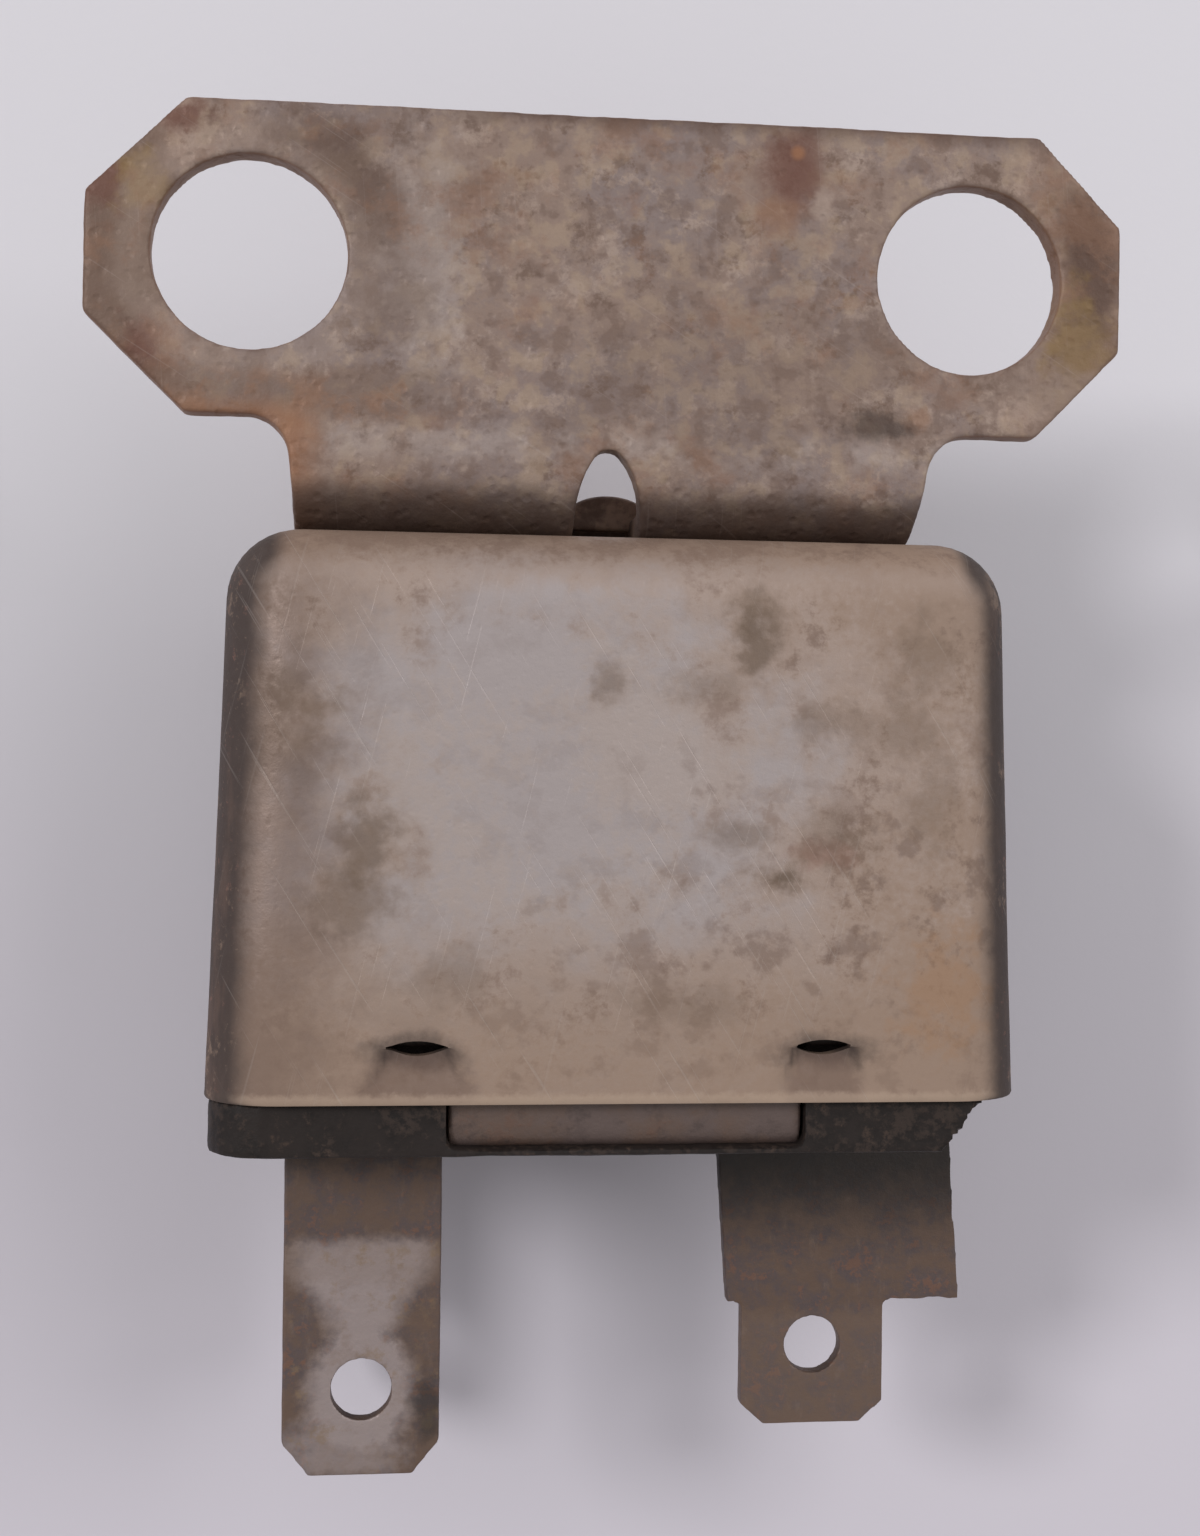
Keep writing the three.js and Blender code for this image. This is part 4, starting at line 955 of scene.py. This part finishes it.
def tearShank(piece, look):
    # the wide shank was torn off unevenly, so its lower edge and right side wander
    places = readPoints(piece)[0]
    low = softStep(places[:, 1], look["lowY"] - 0.3, look["lowY"])
    low = low * softStep(-places[:, 1], -look["topY"], -look["lowY"])
    wander = ripple(places * (1, 0.2, 0.2), 0.9, 20) + 0.5 * ripple(places * (1, 0.2, 0.2), 0.35, 21)
    aside = np.abs(places[:, 0] - look["tabX"]) > look["tabHalf"]
    places[:, 1] += np.where(aside, look["ragged"] * low * (wander + 0.4), 0)
    rightEdge = softStep(places[:, 0], look["edgeX"], look["edgeX"] + 0.6)
    rightEdge = rightEdge * softStep(-places[:, 1], -look["edgeTop"], -look["edgeTop"] + 0.6)
    edgeWander = ripple(places * (0.2, 1, 0.2), 1.1, 22)
    places[:, 0] += rightEdge * look["edgeRagged"] * (edgeWander - 0.3)
    writePoints(piece, places)


tearShank(bpy.data.objects["batteryBlade"], shankLook)
print("terminals made")


class GeometryTree(Maker):
    # a Geometry Nodes tree with named inputs
    def __init__(self, name, sizes):
        super().__init__(bpy.data.node_groups.new(name, "GeometryNodeTree"))
        face = self.tree.interface
        face.new_socket("Geometry", in_out="OUTPUT", socket_type="NodeSocketGeometry")
        face.new_socket("Geometry", in_out="INPUT", socket_type="NodeSocketGeometry")
        for size in sizes:
            kind = "NodeSocketInt" if isinstance(sizes[size], int) else "NodeSocketFloat"
            face.new_socket(size, in_out="INPUT", socket_type=kind)
        face.new_socket("Material", in_out="INPUT", socket_type="NodeSocketMaterial")
        entry = self.tree.nodes.new("NodeGroupInput")
        self.given = {socket.name: Wire(self, socket) for socket in entry.outputs if socket.name}

    def close(self, shape, tilt):
        # the tilted shape is set on every seat and made real, and gets its finish
        rotation = (math.radians(tilt), 0.0, 0.0)
        upright = self.node("GeometryNodeTransform", None, {0: shape, "Rotation": rotation})
        seats = self.node("GeometryNodeInstanceOnPoints", None, {
            0: self.given["Geometry"], "Instance": upright})
        real = self.node("GeometryNodeRealizeInstances", None, {0: seats})
        merged = self.node("GeometryNodeMergeByDistance", None, {0: real, "Distance": 1e-6})
        done = self.node("GeometryNodeSetMaterial", None, {0: merged, "Material": self.given["Material"]})
        self.node("NodeGroupOutput", None, {0: done})

    def joined(self, *geometries):
        node = self.tree.nodes.new("GeometryNodeJoinGeometry")
        for geometry in reversed(geometries):
            self.tree.links.new(geometry.socket, node.inputs[0])
        return Wire(self, node.outputs[0])

    def point(self, x=0.0, y=0.0, z=0.0):
        return self.node("ShaderNodeCombineXYZ", None, {0: x, 1: y, 2: z})

    def line(self, start, end):
        return self.node("GeometryNodeCurvePrimitiveLine", None, {
            "Start": self.point(*start), "End": self.point(*end)})

    def run(self, piece, sizes, material):
        # inputs go in by the socket's identifier, before the first evaluation
        maker = piece.modifiers.new(self.tree.name, "NODES")
        maker.node_group = self.tree
        for socket in self.tree.interface.items_tree:
            if socket.in_out == "INPUT" and socket.name in sizes:
                maker[socket.identifier] = sizes[socket.name]
            elif socket.in_out == "INPUT" and socket.name == "Material":
                maker[socket.identifier] = material
        return settle(piece)


rivetSizes = {"headRadius": 1.7 * mm, "headHeight": 0.65 * mm, "shankRadius": 1.1 * mm,
              "shankLength": 4.0 * mm, "steps": 40}


def rivetTree(sizes):
    # one rivet's outline, swept round its axis and set on every seat
    tree = GeometryTree("domedRivets", sizes)
    given = tree.given
    head, height = given["headRadius"], given["headHeight"]
    shank, length = given["shankRadius"], given["shankLength"]
    dome = tree.node("GeometryNodeCurvePrimitiveBezierSegment", None, {
        "Resolution": 12, "Start": tree.point(0.0, 0.0 - height),
        "Start Handle": tree.point(head * 0.62, 0.0 - height),
        "End Handle": tree.point(head, height * -0.66), "End": tree.point(head, 0.0 * height)})
    under = tree.line((head,), (shank,))
    side = tree.line((shank,), (shank, length))
    top = tree.line((shank, length), (0.0, length))
    axis = tree.node("GeometryNodeCurvePrimitiveCircle", None, {
        "Resolution": given["steps"], "Radius": 2e-6})
    swept = tree.node("GeometryNodeCurveToMesh", None, {
        "Curve": axis, "Profile Curve": tree.joined(dome, under, side, top)})
    tree.close(swept, 90)
    return tree


def seatMesh(name, seats):
    mesh = bpy.data.meshes.new(name)
    mesh.from_pydata([tuple(seat) for seat in seats], [], [])
    return addObject(name, mesh)


def rivetSeat(node, headHeight):
    # the middle of the face that the head is pulled up against
    low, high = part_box(node)
    return Vector(((low.x + high.x) / 2, low.y + headHeight, (low.z + high.z) / 2))


rivets = rivetTree(rivetSizes)
rivetRows = (
    ("terminalRivets", ("load_rivet", "battery_rivet", "switch_rivet"), "rivet_brass", plain["rivetBrass"]),
    ("yokeRivets", ("yoke_rivet_1", "yoke_rivet_2"), "iron", iron),
)
for name, nodes, slotName, material in rivetRows:
    low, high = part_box(nodes[0])
    sizes = dict(rivetSizes, shankLength=high.y - low.y - rivetSizes["headHeight"])
    row = seatMesh(name, [rivetSeat(node, sizes["headHeight"]) for node in nodes])
    rivets.run(row, sizes, material)
    shape = bmesh.new()
    shape.from_mesh(row.data)
    bmesh.ops.remove_doubles(shape, verts=shape.verts, dist=4e-6)
    bmesh.ops.recalc_face_normals(shape, faces=shape.faces)
    shape.to_mesh(row.data)
    shape.free()
    smoothShade(row, 35)
    mount(row, "relay", nodes, material)
    print(name, "made:", len(row.data.polygons), "faces")


windingSizes = {"wireRadius": 0.15 * mm, "innerRadius": 4.45 * mm, "outerRadius": 7.0 * mm,
                "length": 11.05 * mm, "turns": 36}


def windingTree(sizes):
    # the outer layer of turns over the body of the coil
    tree = GeometryTree("woundTurns", sizes)
    given = tree.given
    wire, length = given["wireRadius"], given["length"]
    turnRadius = given["outerRadius"] - wire
    helix = tree.node("GeometryNodeCurveSpiral", None, {
        "Resolution": 40, "Rotations": given["turns"], "Start Radius": turnRadius, "End Radius": turnRadius,
        "Height": length - wire * 2.0})
    section = tree.node("GeometryNodeCurvePrimitiveCircle", None, {"Resolution": 6, "Radius": wire})
    turns = tree.node("GeometryNodeCurveToMesh", None, {
        "Curve": helix, "Profile Curve": section, "Fill Caps": True})
    raised = tree.node("GeometryNodeTransform", None, {0: turns, "Translation": tree.point(0.0, 0.0, wire)})
    ring = tree.node("GeometryNodeCurvePrimitiveCircle", None, {
        "Resolution": 64, "Radius": (given["innerRadius"] + turnRadius) * 0.5})
    body = tree.node("GeometryNodeCurvePrimitiveQuadrilateral", None, {
        "Width": turnRadius - given["innerRadius"], "Height": length})
    bulk = tree.node("GeometryNodeCurveToMesh", None, {"Curve": ring, "Profile Curve": body})
    lifted = tree.node("GeometryNodeTransform", None, {
        0: bulk, "Translation": tree.point(0.0, 0.0, length * 0.5)})
    tree.close(tree.joined(raised, lifted), -90)
    return tree


low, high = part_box("coil_winding")
winding = seatMesh("windingTurns", [((low.x + high.x) / 2, low.y, (low.z + high.z) / 2)])
windingTree(windingSizes).run(winding, dict(windingSizes, length=high.y - low.y), plain["enamelledCopper"])
smoothShade(winding, 50)
mount(winding, "relay", ["coil_winding"], plain["enamelledCopper"])
print("winding made:", len(winding.data.polygons), "faces")


# the pieces inside that keep their CAD shape, by finish
kept = (
    (iron, ("armature", "back_stop", "leg_pin_1", "leg_pin_2", "leaf_pin_1", "leaf_pin_2",
            "blade_pin_1", "blade_pin_2")),
    (plain["brownPhenolic"], ("bobbin",)),
    (plain["varnishedPaper"], ("coil_wrap",)),
    (plain["enamelledCopper"], ("battery_lead", "switch_lead")),
    (plain["springBronze"], ("contact_blade", "fixed_contact_arm")),
    (plain["contactSilver"], ("fixed_contact", "moving_contact")),
    (plain["rivetBrass"], ("residual_stud",)),
)
for material, nodes in kept:
    for node in nodes:
        dress(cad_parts[node], material)
print("inner pieces dressed in", len(kept), "finishes")


stageLook = {
    "floorHalf": 3.0, "floorTop": tone(215, 212, 218), "floorLow": tone(201, 195, 204),
    # name, where it shines from, strength, how wide it looks in degrees
    "lamps": (
        ("leftWindow", (-0.645, 0.312, 0.698), 1.36, 14),
        ("rightWindow", (0.62, 0.36, 0.7), 0.885, 38),
    ),
    "sky": (1.0, 1.0, 1.0, 1.0), "skyStrength": 0.5,
    "lens": 46.875, "cameraAt": (-9.5, 1.39, 99.22),
    "cameraRight": (0.99330, 0.01222, 0.11493), "cameraBack": (-0.11494, 0.0, 0.99337),
}


def makeFloor(look):
    paint = Paint("palePaper", look)
    cloud = paint.grain(0.03, 3.0, 0.5)
    # painted light falloff: the floor is brighter towards the top and dimmer towards the bottom
    paintedFalloff = paint.fall(paint.y + (cloud - 0.5) * 20, -32.0, 30.0)
    paint.ground(paintedFalloff, "floorTop", "floorLow")
    paper = paint.finish(0.85, 0.0, paint.grain(1.5, 3.0, 0.5), 0.01)
    half = look["floorHalf"]
    corners = [(-half, -half, 0), (half, -half, 0), (half, half, 0), (-half, half, 0)]
    mesh = bpy.data.meshes.new("floorSheet")
    mesh.from_pydata(corners, [], [(0, 1, 2, 3)])
    floor = addObject("floorSheet", mesh)
    dress(floor, paper)


def makeLamp(name, source, strength, width):
    lamp = bpy.data.lights.new(name, "SUN")
    lamp.energy = strength
    lamp.angle = math.radians(width)
    made = addObject(name, lamp)
    made.location = Vector(source) * 0.5
    made.rotation_euler = Vector(source).to_track_quat("Z", "Y").to_euler()


def makeCamera(look):
    lens = bpy.data.cameras.new("studioCamera")
    lens.lens = look["lens"]
    lens.sensor_width = 36.0
    lens.sensor_fit = "AUTO"
    lens.clip_start = 0.001
    lens.clip_end = 10.0
    camera = addObject("studioCamera", lens)
    back = Vector(look["cameraBack"]).normalized()
    right = Vector(look["cameraRight"])
    right = (right - back * right.dot(back)).normalized()
    up = back.cross(right)
    turn = Matrix((right, up, back)).transposed().to_4x4()
    camera.matrix_world = Matrix.Translation(Vector(look["cameraAt"]) * mm) @ turn
    bpy.context.scene.camera = camera


def makeSky(look):
    world = bpy.data.worlds.new("softRoom")
    bpy.context.scene.world = world
    world.use_nodes = True
    backdrop = world.node_tree.nodes["Background"]
    backdrop.inputs[0].default_value = look["sky"]
    backdrop.inputs[1].default_value = look["skyStrength"]


makeFloor(stageLook)
for lamp in stageLook["lamps"]:
    makeLamp(*lamp)
makeSky(stageLook)
makeCamera(stageLook)
bpy.context.scene.view_settings.view_transform = "Standard"
print("stage set")
